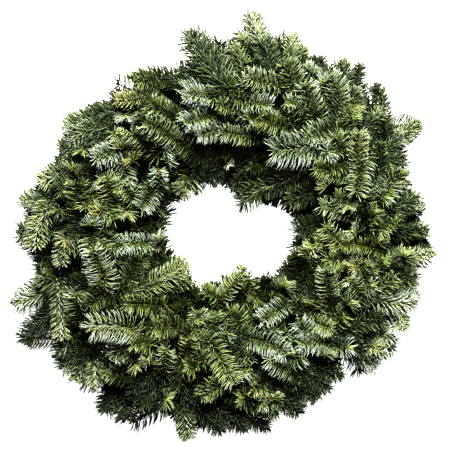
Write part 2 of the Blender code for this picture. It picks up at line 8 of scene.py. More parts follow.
import bpy
import numpy as np
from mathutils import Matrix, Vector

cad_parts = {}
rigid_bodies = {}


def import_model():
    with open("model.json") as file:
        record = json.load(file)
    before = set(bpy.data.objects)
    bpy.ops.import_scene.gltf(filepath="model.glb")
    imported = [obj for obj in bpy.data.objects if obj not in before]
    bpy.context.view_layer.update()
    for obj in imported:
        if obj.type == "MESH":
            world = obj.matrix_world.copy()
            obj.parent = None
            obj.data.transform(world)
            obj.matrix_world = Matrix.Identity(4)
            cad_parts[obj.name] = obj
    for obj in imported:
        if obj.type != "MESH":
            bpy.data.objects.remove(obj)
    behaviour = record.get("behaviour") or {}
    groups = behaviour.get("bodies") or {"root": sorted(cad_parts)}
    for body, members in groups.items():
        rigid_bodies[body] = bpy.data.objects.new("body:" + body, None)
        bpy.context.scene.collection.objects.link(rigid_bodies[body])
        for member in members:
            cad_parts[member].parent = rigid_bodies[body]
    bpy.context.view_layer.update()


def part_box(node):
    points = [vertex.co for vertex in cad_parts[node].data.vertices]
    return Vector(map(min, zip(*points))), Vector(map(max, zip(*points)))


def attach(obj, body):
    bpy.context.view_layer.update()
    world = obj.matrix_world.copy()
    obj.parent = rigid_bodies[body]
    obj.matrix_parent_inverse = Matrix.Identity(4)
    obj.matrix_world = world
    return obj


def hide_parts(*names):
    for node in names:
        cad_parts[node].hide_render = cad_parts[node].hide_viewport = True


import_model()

MM = 0.001
UP = np.array((0.0, 0.0, 1.0))
GAP = 0.35 * MM

# The frame is two rings of round wire, welded on short cross wires that are the lowest things on the
# wreath. The solids' wires are six-sided, and their corners reach out by this share of their half width.
RING_RADIUS = 172 * MM
RAIL_OFFSET = 8 * MM
RAIL_HEIGHT = 4.6 * MM
RAIL_HALF_WIDTH = 1.6 * MM
RAIL_SEGMENTS = 40
CORNER_SHARE = 1.16
CROSS_WIRES = 8
CROSS_WIRE_HALF_LENGTH = 9.9 * MM

# The binding wire makes one turn a bunch round this section: outward from the ring's middle, and height.
BINDING_TURN = (
    (0, 10.6), (8.6, 9.4), (12.2, 4.6), (8.6, 1.2), (0, 1.2), (-8.6, 1.2), (-12.2, 4.6), (-8.6, 9.4),
)
BINDING_RADIUS = 0.75 * MM

# As drawn, the wires are round and their runs finely divided.
ROUND_RAIL_SEGMENTS = 180
CROSS_WIRE_STEPS = 7
RAIL_SIDES = 14
BINDING_SIDES = 8
BINDING_STEP = 2.5 * MM

# The stems lie side by side between the rails, with the crown sprig's in the groove on top of the other two.
BUNCHES = 16
FIRST_CUT_END = 2.0
SEAT = {"outer": (3.7 * MM, 5.7 * MM), "crown": (0.0, 7.0 * MM), "inner": (-3.8 * MM, 5.7 * MM)}
SEAT_LENGTH = 42 * MM
SEAT_STEPS = 3
SEAT_RISE = 12.0
STEM_RADIUS = 2.2 * MM
TWIG_RADIUS = 1.5 * MM
TIP_REACH = 13 * MM

# A side shoot leaves its stem at about this angle and length, and these are the misses that count as much. It
# is swept forward along its stem, a little at its root and more at its tip.
SIDE_ANGLE = (46, 12)
SIDE_LENGTH = (62 * MM, 16 * MM)
SIDE_SWEEP = (0.1, 0.25)
SIDE_PULL = 0.9
SIDE_STEPS = 6
SIDE_BARE = 3 * MM

# A shoot keeps this much room round it where it bears needles, so that the sprays lie evenly.
SPRAY_ROOM = 7 * MM
ROOM_GROWS_OVER = 45 * MM
LOWEST_CORE = 7 * MM
STEP = 11 * MM

# The shoots are bent clear of each other in gentle steps, and then in hard ones for what is still too near.
# Who may touch whom is looked up anew now and then, among all segments nearer than this.
SETTLE_STEPS = 140
HARD_STEPS = 40
LOOK_AGAIN = 8
LOOK_ROUND = 24 * MM
HARD_ROOM = 1.5 * MM
WIRE_ROOM = 3 * GAP
LONGEST_MOVE = 3 * MM
EVENING = (0.35, 0.12)
PULL_BACK = 0.04

# Segments that never push each other: so many steps apart on one shoot, or so near a side shoot's root on
# it and on its stem.
SAME_SHOOT = 4
ROUND_ROOT = (2, 2.5)

# Sprigs by place: tone, the spray's turn outward from the ring's run at its tip, then the place of its own
# tip and of its side shoots' tips, each in degrees round the ring, reach from its middle and height in mm.
TIPS = {
    "outer": (
        ("deep", 35, (45, 292, 42), (30, 309, 32), (49, 240, 74)),
        ("deep", 42, (64, 278, 46), (55, 289, 36), (60, 236, 80)),
        ("fresh", 62, (84, 307, 56), (72, 293, 38), (76, 238, 78)),
        ("deep", 62, (101, 281, 60), (92, 275, 44), (98, 228, 80)),
        ("green", 52, (128, 266, 44), (117, 256, 36), (122, 226, 72)),
        ("green", 48, (149, 272, 46), (140, 268, 32), (143, 228, 74)),
        ("silver", 70, (172, 294, 46), (160, 268, 34), (166, 262, 66)),
        ("fresh", 78, (198, 310, 38), (181, 299, 34), (188, 270, 66)),
        ("green", 60, (219, 305, 42), (208, 327, 30), (213, 268, 68)),
        ("green", 68, (237, 313, 38), (226, 303, 32), (231, 276, 64)),
        ("deep", 58, (260, 294, 48), (243, 309, 34), (251, 266, 62)),
        ("deep", 55, (279, 282, 42), (268, 284, 32), (272, 240, 74)),
        ("deep", 50, (301, 268, 42), (291, 274, 32), (296, 228, 74)),
        ("silver", 68, (326, 284, 44), (313, 282, 32), (319, 236, 74)),
        ("silver", 78, (353, 291, 48), (339, 288, 34), (345, 244, 72)),
        ("fresh", 84, (21, 274, 46), (5, 284, 34), (13, 242, 72)),
    ),
    "crown": (
        ("fresh", 8, (44, 196, 116), (37, 232, 96), (50, 150, 106)),
        ("deep", 4, (64, 190, 118), (60, 228, 94), (68, 140, 104)),
        ("silver", 4, (87, 204, 114), (80, 236, 90), (82, 152, 112)),
        ("silver", 0, (110, 198, 116), (104, 234, 92), (114, 154, 110)),
        ("deep", 2, (131, 186, 118), (126, 226, 92), (132, 140, 104)),
        ("silver", 4, (152, 196, 116), (147, 234, 90), (158, 150, 110)),
        ("fresh", 6, (173, 196, 116), (168, 234, 92), (177, 152, 112)),
        ("silver", -12, (192, 184, 120), (186, 226, 96), (192, 142, 108)),
        ("green", 20, (217, 212, 106), (208, 244, 86), (210, 162, 110)),
        ("green", 6, (239, 188, 118), (236, 224, 98), (236, 150, 110)),
        ("green", 6, (260, 194, 116), (252, 238, 90), (255, 142, 110)),
        ("silver", 0, (282, 190, 118), (274, 234, 92), (272, 136, 108)),
        ("silver", -8, (304, 196, 116), (296, 236, 90), (298, 146, 112)),
        ("green", 0, (327, 194, 118), (319, 236, 92), (323, 150, 110)),
        ("green", -6, (350, 190, 118), (343, 236, 94), (344, 148, 112)),
        ("green", 6, (17, 196, 118), (9, 238, 92), (20, 152, 112)),
    ),
    "inner": (
        ("deep", -42, (46, 86, 54), (48, 118, 84)),
        ("deep", -60, (66, 52, 66), (74, 96, 82)),
        ("deep", -36, (90, 76, 50), (95, 110, 82)),
        ("green", -36, (113, 74, 52), (116, 112, 86)),
        ("deep", -36, (135, 82, 52), (137, 118, 84)),
        ("green", -36, (157, 84, 52), (160, 118, 86)),
        ("silver", -36, (180, 86, 52), (182, 120, 86)),
        ("fresh", -44, (201, 84, 60), (196, 116, 90)),
        ("green", -54, (223, 72, 76), (219, 112, 90)),
        ("deep", -44, (246, 92, 62), (242, 122, 88)),
        ("green", -44, (270, 100, 60), (264, 126, 90)),
        ("fresh", -58, (298, 66, 74), (288, 112, 90)),
        ("deep", -50, (313, 88, 54), (312, 120, 86)),
        ("deep", -44, (336, 100, 52), (334, 130, 86)),
        ("deep", -44, (0, 98, 52), (3, 128, 90)),
        ("deep", -44, (24, 96, 50), (26, 128, 88)),
    ),
}
SPRIGS = [(role, bunch, *row) for role, rows in TIPS.items() for bunch, row in enumerate(rows)]
TIP_RISE = {"outer": 8.0, "crown": 20.0, "inner": 12.0}
PULL = {"outer": 1.15, "crown": 1.0, "inner": 1.05}

# Colours, read off the photograph.
MID_GREEN = "#667F36"
DEEP_GREEN = "#172405"
OLIVE_GREEN = "#687028"
YOUNG_GREEN = "#868B5C"
WAX_BLOOM = "#888F96"
SERE_BROWN = "#7A6A36"
PORE_BAND = "#8F9594"
NEEDLE_FOOT = "#6A6A3C"
BARK_DARK = "#302C18"
BARK_WARM = "#5C5A2A"
BARK_SCAR = "#686044"
BUD_TAN = "#64623A"
BUD_BROWN = "#4A4428"
BUD_RESIN = "#949070"
ENAMEL_GREEN = "#1F3A28"
LACQUER_GREEN = "#2C4A34"
BARE_STEEL = "#8E8F8C"
ACRYLIC_WHITE = "#8E8E8C"
ACRYLIC_CLOUD = "#888886"

# The studio: a large soft key beyond the wreath's top, a weak fill from the other side, and a glowing table.
KEY_PLACE = (0.2, 1.95, 3.05)
KEY_SIZE = 1.6
KEY_POWER = 585
KEY_COLOUR = (1.0, 0.98, 0.95)
FILL_PLACE = (-0.8, -0.6, 2.2)
FILL_SIZE = 1.6
FILL_POWER = 1.5
FILL_COLOUR = (0.95, 0.98, 1.0)
WHITE = (1, 1, 1, 1)
WORLD_LIGHT = 0.01
TABLE_GLOW = 0.74
TABLE_SIZE = 20.0
TABLE_DROP = 0.2 * MM

# The camera is this high, and the photograph's scale is true at the height in the foliage that is given here.
SENSOR = 36
CAMERA_HEIGHT = 2.1
SCALE_HEIGHT = 60 * MM

# The photograph is 450 pixels square. This is the pixel at the ring's middle, and the real size of a pixel.
PHOTO_SIZE = 450
PHOTO_MIDDLE = (227, 231)
PIXEL = 1.4 * MM

# Height of the foliage's front by distance from the ring's middle, in mm.
FRONT_REACH = (60, 90, 130, 172, 215, 250, 285, 320)
FRONT_HEIGHT = (64, 84, 110, 124, 118, 98, 66, 44)
FRONT_ROUNDING = 170 * MM

# Where the foliage ends outside and round the hole: degrees round the ring, outer reach and hole reach in mm.
EDGE = (
    (0, 290, 88), (12, 276, 92), (24, 286, 86), (35, 290, 66), (48, 292, 52), (60, 280, 42), (72, 285, 38),
    (85, 305, 46), (92, 260, 52), (98, 275, 60), (112, 252, 62), (125, 252, 66), (140, 272, 66),
    (155, 268, 74), (170, 290, 80), (180, 298, 78), (190, 280, 78), (202, 320, 78), (215, 294, 66),
    (228, 300, 70), (240, 300, 82), (247, 272, 79), (252, 280, 76), (262, 298, 64), (275, 280, 52),
    (290, 274, 50), (305, 262, 70), (313, 260, 76), (320, 272, 82), (332, 286, 80), (345, 284, 86),
)

# The shoots that can be told apart in the photograph: tone, and the pixels where each comes into view and
# ends. Then, for some, by how many mm it lies over its neighbours, and its needles' length as a share of
# the usual one.
SHOWN = (
    ("pale", 272, 75, 248, 7), ("fresh", 258, 52, 233, 36, 0, 0.8), ("deep", 226, 92, 187, 32, 16, 1.3),
    ("green", 247, 78, 228, 45, 6, 0.8), ("fresh", 291, 72, 293, 28, 2, 0.7),
    ("fresh", 299, 70, 304, 39, 0, 0.6), ("deep", 325, 85, 312, 53, 0, 0.8),
    ("green", 342, 88, 342, 55, 0, 0.8), ("green", 352, 92, 363, 57, -8, 0.6),
    ("deep", 384, 132, 374, 78, 6, 0.7), ("green", 388, 150, 424, 119, 4, 0.8),
    ("deep", 375, 166, 408, 159, 4, 0.7), ("silver", 326, 84, 297, 66, 4, 0.8),
    ("deep", 272, 92, 263, 38, 6), ("green", 300, 100, 281, 60, 6), ("deep", 262, 78, 247, 58, 6, 0.8),
    ("silver", 215, 101, 180, 99, 8, 0.9), ("silver", 213, 117, 180, 128, 4, 0.9),
    ("silver", 228, 128, 192, 140, 5, 0.8), ("green", 245, 112, 212, 108, 5, 0.8),
    ("dusty", 278, 88, 242, 80, 9), ("green", 285, 130, 252, 119, 9),
    ("silver", 240, 104, 278, 110, 4, 0.8), ("silver", 322, 147, 266, 153, 8, 1.45),
    ("dusty", 345, 124, 300, 141, 5, 1.1), ("dusty", 314, 118, 300, 82, 8), ("dusty", 338, 112, 328, 72, 6),
    ("dusty", 352, 112, 352, 84, 5, 0.9), ("fresh", 355, 170, 356, 128, 8, 0.8),
    ("deep", 376, 174, 377, 138, 5, 0.6), ("fresh", 365, 128, 386, 108, 2, 0.8),
    ("deep", 352, 158, 322, 172, 3), ("silver", 338, 150, 318, 158, 4), ("green", 140, 104, 62, 129, 3),
    ("dusty", 112, 128, 66, 143, 2), ("deep", 110, 140, 57, 152), ("fresh", 104, 156, 36, 185),
    ("green", 170, 80, 128, 85), ("sere", 148, 98, 112, 104, 6, 0.7), ("silver", 124, 152, 92, 163, 6),
    ("dusty", 190, 152, 142, 122, 8), ("green", 182, 124, 146, 104, 5),
    ("dusty", 156, 156, 128, 132, 5, 0.9), ("fresh", 128, 146, 112, 132, 5, 0.8),
    ("green", 84, 216, 80, 176, 5, 1.1), ("fresh", 116, 208, 107, 174, 5, 1.1),
    ("fresh", 136, 200, 118, 182, 3), ("silver", 160, 190, 160, 166, 5, 0.8),
    ("green", 197, 160, 178, 198, 3), ("silver", 154, 186, 140, 214, 2), ("deep", 88, 184, 54, 192),
    ("dusty", 72, 195, 15, 200, 0, 0.8), ("deep", 50, 232, 13, 233), ("fresh", 52, 203, 34, 253, 8),
    ("green", 66, 284, 35, 275), ("pale", 54, 288, 7, 306), ("shade", 52, 312, 17, 346),
    ("fresh", 60, 282, 63, 345, 8, 0.8), ("dusty", 72, 238, 64, 270, 5, 0.8), ("green", 86, 355, 75, 386),
    ("fresh", 95, 356, 97, 393, 6, 0.8), ("deep", 74, 334, 55, 358), ("deep", 80, 348, 58, 372),
    ("shade", 112, 393, 104, 419), ("shade", 126, 398, 124, 428), ("pale", 106, 272, 94, 243, 15, 1.2),
    ("silver", 158, 243, 120, 244, 5, 0.9), ("dusty", 84, 318, 78, 286, 4),
    ("deep", 128, 292, 84, 305, 3, 0.9), ("green", 165, 306, 122, 302, 3, 0.9),
    ("pale", 128, 325, 88, 325, 18, 1.3), ("green", 176, 326, 148, 325, 5),
    ("dusty", 130, 338, 112, 362, 4, 0.9), ("green", 160, 345, 128, 340, 3, 0.8),
    ("green", 128, 376, 102, 366, 2), ("deep", 292, 179, 234, 206, 7), ("deep", 312, 193, 284, 205),
    ("shade", 314, 226, 289, 233), ("shade", 303, 276, 295, 247), ("shade", 268, 295, 262, 272),
    ("fresh", 222, 298, 250, 262, 10, 0.8), ("fresh", 132, 290, 193, 262, 7),
    ("deep", 124, 288, 148, 252, 6, 0.9), ("green", 378, 196, 401, 166, 3),
    ("green", 388, 215, 421, 193, 4), ("green", 404, 233, 434, 230, 0, 0.8),
    ("fresh", 418, 238, 438, 262, 0, 0.5), ("fresh", 392, 258, 426, 254, 4, 0.8),
    ("green", 392, 278, 421, 275), ("dusty", 362, 158, 351, 202, 8), ("dusty", 350, 214, 312, 205, 7, 0.9),
    ("fresh", 342, 248, 318, 222, 8, 0.9), ("green", 376, 250, 330, 244, 8, 0.7),
    ("green", 392, 206, 372, 236, 4), ("dusty", 328, 300, 322, 262, 8, 0.9),
    ("dusty", 388, 180, 376, 204, 5), ("green", 352, 288, 372, 262, 4, 0.8),
    ("fresh", 306, 262, 312, 240, 4, 0.9), ("pale", 378, 300, 420, 299, 10),
    ("fresh", 388, 298, 405, 334, 5, 0.8), ("green", 345, 303, 398, 272, 4, 0.8),
    ("deep", 332, 338, 386, 314, 5, 0.9), ("pale", 360, 334, 398, 335, 5, 0.9),
    ("pale", 360, 348, 389, 353, 5, 0.9), ("silver", 350, 350, 380, 370, 0, 0.8),
    ("deep", 322, 368, 346, 372, 2, 0.8), ("fresh", 300, 318, 335, 330, 4, 0.8),
    ("green", 182, 406, 190, 443, 6, 0.8), ("shade", 152, 388, 138, 411),
    ("green", 170, 398, 166, 417, 0, 0.8), ("shade", 186, 396, 226, 433, 2, 0.9),
    ("shade", 210, 402, 250, 430, 0, 0.9), ("deep", 236, 398, 284, 412, 3, 0.8),
    ("deep", 242, 410, 273, 430, 0, 0.8), ("shade", 264, 390, 305, 413, 2, 0.9),
    ("deep", 296, 384, 322, 400, 0, 0.8), ("deep", 306, 372, 334, 390, 0, 0.8),
    ("fresh", 213, 344, 238, 384, 9), ("green", 228, 378, 196, 395, 7, 0.9),
    ("green", 212, 348, 216, 306, 5, 0.9), ("sere", 188, 352, 190, 328, 5, 0.8),
    ("dusty", 164, 372, 170, 340, 4, 0.8), ("silver", 330, 344, 290, 316, 6),
    ("silver", 348, 346, 292, 339, 6), ("silver", 246, 336, 290, 352, 6),
    ("silver", 286, 302, 255, 322, 5, 0.9), ("green", 282, 340, 262, 306, 3, 0.8),
    ("silver", 302, 375, 262, 352, 2), ("sere", 262, 380, 246, 390, 4, 0.8),
    ("dusty", 284, 395, 254, 402, 3, 0.9), ("dusty", 306, 112, 278, 104, 6, 0.8),
    ("dusty", 256, 138, 214, 134, 5, 0.8), ("green", 345, 262, 318, 256, 6, 0.9),
    ("dusty", 358, 294, 340, 272, 6, 0.9), ("green", 222, 302, 198, 284, 5, 0.8),
    ("dusty", 206, 336, 196, 304, 4, 0.9), ("green", 240, 332, 228, 302, 5, 0.9),
    ("green", 345, 176, 306, 168, 8, 0.9), ("shade", 152, 372, 128, 389, 0, 0.9),
    ("shade", 222, 158, 204, 187, -8, 0.9), ("shade", 206, 164, 188, 194, -8, 0.9),
    ("shade", 240, 162, 222, 188, -8, 0.9), ("deep", 148, 232, 168, 231, -2, 0.7),
    ("green", 164, 288, 196, 280, 0, 0.8), ("shade", 302, 284, 279, 262, -4, 0.9),
    ("shade", 308, 266, 287, 250, -4, 0.9), ("shade", 166, 390, 152, 412, -4, 0.9),
    ("shade", 142, 382, 132, 404, -4, 0.9), ("shade", 162, 398, 132, 406, -4, 0.9),
    ("green", 345, 105, 350, 128, 6, 0.9), ("fresh", 392, 346, 366, 344, 4, 0.9),
)

# Shoots that point straight out of the photograph: tone, the bud's pixel, and for some the same two values.
# The stem that such a shoot grows from lies about 40 mm below its tip.
END_ON = (
    ("silver", 321, 86), ("pale", 228, 165, 12, 0.55), ("silver", 168, 163), ("silver", 95, 225),
    ("sere", 68, 240), ("fresh", 138, 362), ("fresh", 324, 187), ("green", 325, 265), ("green", 195, 318),
    ("deep", 215, 320), ("fresh", 166, 397), ("sere", 352, 265), ("fresh", 401, 256), ("silver", 128, 118),
    ("fresh", 180, 192), ("sere", 354, 107), ("sere", 135, 163), ("fresh", 272, 396), ("green", 243, 394),
    ("fresh", 152, 360), ("deep", 390, 225), ("green", 256, 298), ("fresh", 284, 286), ("sere", 104, 212),
    ("fresh", 130, 212), ("green", 190, 362), ("silver", 290, 352), ("deep", 60, 210), ("green", 320, 240),
    ("silver", 160, 240), ("dusty", 345, 205), ("green", 370, 214), ("dusty", 352, 234),
    ("green", 386, 262), ("dusty", 366, 284), ("green", 338, 270), ("dusty", 345, 302), ("green", 374, 242),
    ("dusty", 100, 182), ("green", 86, 150), ("green", 76, 172), ("dusty", 122, 150), ("dusty", 62, 160),
    ("dusty", 322, 352), ("silver", 345, 345),
)
END_ON_USUAL = (2, 1.0)
END_ON_STEM = 40 * MM
END_ON_INSET = 8 * MM
END_ON_TILT = 0.2

# Each tone's youth (yellow-green of new growth), bloom (blue-white wax), depth (how dark the green is, from
# the
# needles' own tone and from painted shade) and how far it has turned brown. The shade tone is painted shade:
# near-black needles for shoots that lie in shadow.
TONES = {
    "shade": (0.0, 0.0, 1.3, 0.0),
    "deep": (0.11, 0.10, 0.70, 0.0),
    "green": (0.38, 0.14, 0.48, 0.0),
    "dusty": (0.45, 0.45, 0.35, 0.0),
    "silver": (0.32, 0.74, 0.06, 0.0),
    "fresh": (0.68, 0.32, 0.14, 0.0),
    "pale": (0.90, 0.70, 0.00, 0.0),
    "sere": (0.60, 0.20, 0.20, 0.40),
}

# A needle is flat and blunt, a little wider beyond the middle, and drawn as four-sided rings at its stations.
# No needle reaches under the first of these two heights. The second isn't a feature of the real wreath: it
# keeps the foliage in the box allowed round the solids, and shortens needles at the crown that would pass it.
NEEDLE = 22 * MM
NEEDLE_WIDTH = 1.5 * MM
NEEDLE_THINNESS = 0.42
NEEDLE_STATIONS = np.array((0.0, 0.35, 0.75, 1.0))
NEEDLE_OUTLINE = np.array((0.5, 0.95, 1.0, 0.55))
NEEDLE_CORNERS = 4
LOWEST_NEEDLE = 1 * MM
NEEDLE_CEILING = 146 * MM

# Needles follow each other round the shoot by the golden angle, crowded on the upper side. Lean is the
# angle to the shoot, first as the needle leaves it and then at its end, on the upper side and at the sides.
# The side that a needle leaves from is drawn in toward the top, more at its end.
GOLDEN_ANGLE = 137.508
AROUND_SCATTER = 4
TOP_CROWDING = 1.4
TOP_LEANS = (34.0, 70.0)
SIDE_LEANS = (88.0, 38.0)
TOP_ENDS_AT = 80.0
DRAWN_IN = (0.65, 0.52)
LEAN_SCATTER = 0.06
TWIST_SCATTER = 0.15

# In the last stretch the needles close round the bud, and a tuft of more fans out there.
TIP_BRUSH = 8 * MM
TIP_TUFT = 5
TIP_NEEDLES = 14
TIP_SPREAD = 38.0
TIP_CLOSED = (0.01, 0.9)

# The first needles of a year's growth and the last ones are shorter, and so are those along the top.
FIRST_SHARE = 0.72
FULL_AFTER = 30 * MM
TIP_SHORTER = 0.3
CORE_SHORTER = 0.4
LENGTH_SCATTER = 0.06

# The olive line along the top of a shoot, without wax bloom and darkened with painted shade: within these
# degrees of it, and what it does to tone.
CORE = (18, 50)
CORE_TONE = np.array((0.0, -0.6, 0.25, 0.0))

# Painted shade: needles well under the foliage's front are drawn plain dark green, without their bloom. The
# change comes between these two depths. The same painted shade is put in the hollow between crown and hole,
# given by its degrees, reach and height, and in part on the needles under each shoot, from the first of these
# degrees off its top.
SHADE_DEPTHS = (10 * MM, 31 * MM)
SHADED_HOLLOW = ((60, 124), 128 * MM, 86 * MM)
PAINTED_SHADE_TONE = np.array((0.0, 0.0, 1.25, 0.0))
UNDER = (75, 150)
UNDER_SHADE = 0.45
NEEDLE_VARIETY = (0.08, 0.10, 0.22, 0.02)

# How close the needles sit along the side shoots of the solids and along their stems, what those shoots do to
# their sprig's tone (duller, with a little painted shade), and how much further than their settled line they
# are drawn.
NEEDLE_SPACING = 0.5 * MM
STEM_SPACING = 0.75 * MM
GROWN_TONE = np.array((0.8, 0.8, 1.0, 1.0))
GROWN_SHADE = np.array((0.0, 0.0, 0.04, 0.0))
GROWN_ON = 3 * MM

# Side twigs leave a shoot left and right by turns, beginning this far before its tip. They are as long as
# half the shoot that lies beyond them and a bit more, and shorter where they would leave the wreath's
# outline.
SIDE_TWIG_EVERY = 25 * MM
SIDE_TWIG_LEAN = 50.0
SIDE_TWIG_SWEEP = 0.5
SIDE_TWIG_RADIUS = 0.75 * TWIG_RADIUS
LAST_SIDE_TWIG = 24 * MM
SIDE_TWIG_CLEAR = 6 * MM
SIDE_TWIG_MORE = 20 * MM
SIDE_TWIG_LONGEST = 60 * MM
SIDE_TWIG_SAGS = (-0.35, 0.12)
SIDE_TWIG_SHARES = (1.0, 0.75, 0.5)
SIDE_TWIG_INSIDE = (12 * MM, 10 * MM)

# How far each side twig strays from that: its place in mm, its lean in degrees, its length and the way to
# the next one as shares, and its tone. What fills between the shoots is sparser, and darker by painted shade.
PLACE_SCATTER = 2
TWIG_LEAN_SCATTER = 6
TWIG_LENGTH_SCATTER = 0.1
EVERY_SCATTER = 0.12
TONE_SCATTER = 0.06
FILLER_SPACING = 0.92 * MM
FILLER_TONE = np.array((0.6, 0.5, 0.65, 1.0))
FILLER_SHADE = np.array((0.0, 0.0, 0.35, 0.0))

# Shoots that show are denser, with their needles in ranks. Each comes out of a lead from the stem behind
# it, at this depth under the foliage's front, and ends near the front, a few mm higher or lower.
SHOWN_SPACING = 0.45 * MM
SHOWN_LEAN = 12.0
SHOWN_TIP_NEEDLES = 32
RANK = 3.0 * MM
RANKS = {"silver": 2.1 * MM, "pale": 0.0}
RANK_SCATTER = 0.12
BASE_DEPTH = 32 * MM
BASE_LIFT = 1.5
TIP_SCATTER = (-9, 1)
BEHIND = 25 * MM
LEAD_PULL = 0.8
LEAD_STEPS = 5
BOW = 0.05
SHOWN_INSET = 12 * MM

# Near the wreath's outer edge a shoot that shows has closer and broader needles, darkened with painted shade,
# a core of short broad ones in painted shade that lets no light through, and a twin in painted shade this
# much lower.
NEAR_EDGE = 60 * MM
EDGE_SPACING = 0.40 * MM
EDGE_WIDTH = 1.8 * MM
EDGE_SHADE = np.array((0.0, 0.0, 0.15, 0.0))
CLOSED_SPACING = 0.92 * MM
CLOSED_NEEDLE = 14 * MM
CLOSED_WIDTH = 2.5 * MM
CLOSED_TONE = np.array((1.1, 0.2, 1.0, 1.0))
CLOSED_SHADE = np.array((0.0, 0.0, 0.3, 0.0))
TWIN_DROP = 9 * MM
TWIN_INSET = 20 * MM
TWIN_SPACING = 0.62 * MM
TWIN_TONE = np.array((0.6, 0.5, 1.0, 1.0))

# The low mat: sprays in a row, their turn outward from the ring's run, the edge they reach for (0 the outer
# one, 1 the hole's) and their height over the floor in mm. They end this far inside that edge, a little
# lower than they began, and this many degrees further round for each 100 mm that they reach out.
LOW_ROWS = ((50, 58, 0, 24), (50, 40, 0, 40), (40, -50, 1, 28), (40, -30, 1, 44))
LOW_INSET = 26 * MM
LOW_SWEEP = 12
LOW_ROOT_TURN = 0.7
LOW_RISE = 8
LOW_FALL = 4
LOW_SPACING = 0.78 * MM
LOW_NEEDLE = 27 * MM
LOW_WIDTH = 3.4 * MM
LOW_LEAN = 14.0

# Bark thins toward the tip. A bud, of this length and radius, sits there with three smaller ones round it.
BARK_SIDES = 7
BARK_TAPER = 0.55
BUD = (3.4 * MM, 1.1 * MM)
BUD_SIDES = 6
BUD_STATIONS = np.array((-0.15, 0.15, 0.45, 0.8, 1.0))
BUD_OUTLINE = np.array((0.5, 0.95, 1.0, 0.7, 0.2))
SIDE_BUDS = 3
SIDE_BUD_OUT = 1.2 * MM
SIDE_BUD_SHARE = 0.8
SIDE_BUD_SPREAD = 0.5

# The bands of the texture that bark, buds and needles fill, and the shares of a cell there that a strip's
# walls and its own room take.
BARK_BAND = (0.0, 0.08)
BUD_BAND = (0.085, 0.115)
NEEDLE_BAND = (0.12, 1.0)
WALL_SHARE = 0.85
CELL_SHARE = 0.94
CAP_MIDDLES = ((0.93, 0.1), (0.93, 0.9))
CAP_RADIUS = 0.05
NEEDLE_CAPS = (
    ((0.88, 0), (1, 0), (1, 0.1), (0.88, 0.1)),
    ((0.88, 0.9), (1, 0.9), (1, 1), (0.88, 1)),
)


@dataclass(eq=False)
class Shoot:
    """One unbranched shoot: where its points are in the shared list, and the shoot that it grows from."""

    sprig: int
    points: list
    parent: "Shoot" = None
    root: int = 0


def unit(vector):
    return vector / max(np.linalg.norm(vector), 1e-12)


def on_ring(degrees, reach, height=0.0):
    """A place round the ring: degrees, distance from the ring's middle and height."""
    angle = math.radians(degrees)
    return np.array((reach * math.cos(angle), reach * math.sin(angle), height))


def place_of(tip):
    """The place that a row of TIPS gives for a tip: degrees, reach in mm and height in mm."""
    degrees, reach, height = tip
    return on_ring(degrees, reach * MM, height * MM)


def heading(degrees, turn, rise):
    """A direction at a place round the ring: the ring's own run, turned outward and tilted up."""
    run = on_ring(degrees + 90 - turn, 1.0)
    return math.cos(math.radians(rise)) * run + math.sin(math.radians(rise)) * UP


def cut_end(bunch, role="outer"):
    """Where a sprig's stem begins. The longer crown sprigs start a bunch further back."""
    return FIRST_CUT_END + (bunch - (role == "crown")) * 360 / BUNCHES


def along_ring(length):
    """The degrees that a length takes along the ring's middle line."""
    return math.degrees(length / RING_RADIUS)


def bend(start, start_run, end, end_run, pull, steps):
    """Points of a smooth curve between two places that leaves and arrives in the given directions."""
    reach = pull * np.linalg.norm(end - start)
    t = np.linspace(0, 1, steps + 1)[:, None]
    return (
        (2 * t**3 - 3 * t**2 + 1) * start
        + (t**3 - 2 * t**2 + t) * reach * start_run
        + (3 * t**2 - 2 * t**3) * end
        + (t**3 - t**2) * reach * end_run
    )


def main_path(bunch, role, turn, tip):
    """A sprig's middle line: its bare stem along the frame, then a bend out to its tip."""
    offset, height = SEAT[role]
    start, length = cut_end(bunch, role), along_ring(SEAT_LENGTH)
    seat = [
        on_ring(start + length * i / SEAT_STEPS, RING_RADIUS + offset, height) for i in range(SEAT_STEPS + 1)
    ]
    arriving = heading(tip[0], turn, TIP_RISE[role])
    end = place_of(tip) - TIP_REACH * arriving
    steps = max(6, round(1.1 * np.linalg.norm(end - seat[-1]) / STEP))
    out = bend(seat[-1], heading(start + length, 0, SEAT_RISE), end, arriving, PULL[role], steps)
    return np.array(seat + list(out[1:]))


def choose_root(path, tip, taken):
    """The point of the main path where a side shoot leaves it, leaning forward as side shoots do."""
    best, chosen = None, None
    for i in range(SEAT_STEPS + 3, len(path) - 2):
        if any(abs(i - other) < 2 for other in taken):
            continue
        out = tip - path[i]
        length = np.linalg.norm(out)
        angle = math.degrees(math.acos(np.clip(unit(path[i + 1] - path[i - 1]) @ out / length, -1, 1)))
        cost = sum(((value - usual) / miss) ** 2 for value, (usual, miss) in (
            (angle, SIDE_ANGLE), (length, SIDE_LENGTH),
        ))
        if best is None or cost < best:
            best, chosen = cost, i
    return chosen


def side_path(main, root, tip):
    """A side shoot's points after its root: out from the main shoot, then swept forward."""
    run = unit(main[root + 1] - main[root - 1])
    out = unit(tip - main[root])
    arriving = unit(out + SIDE_SWEEP[1] * run)
    end = tip - TIP_REACH * arriving
    steps = max(4, round(np.linalg.norm(end - main[root]) / STEP))
    return bend(main[root], unit(out + SIDE_SWEEP[0] * run), end, arriving, SIDE_PULL, steps)[1:]


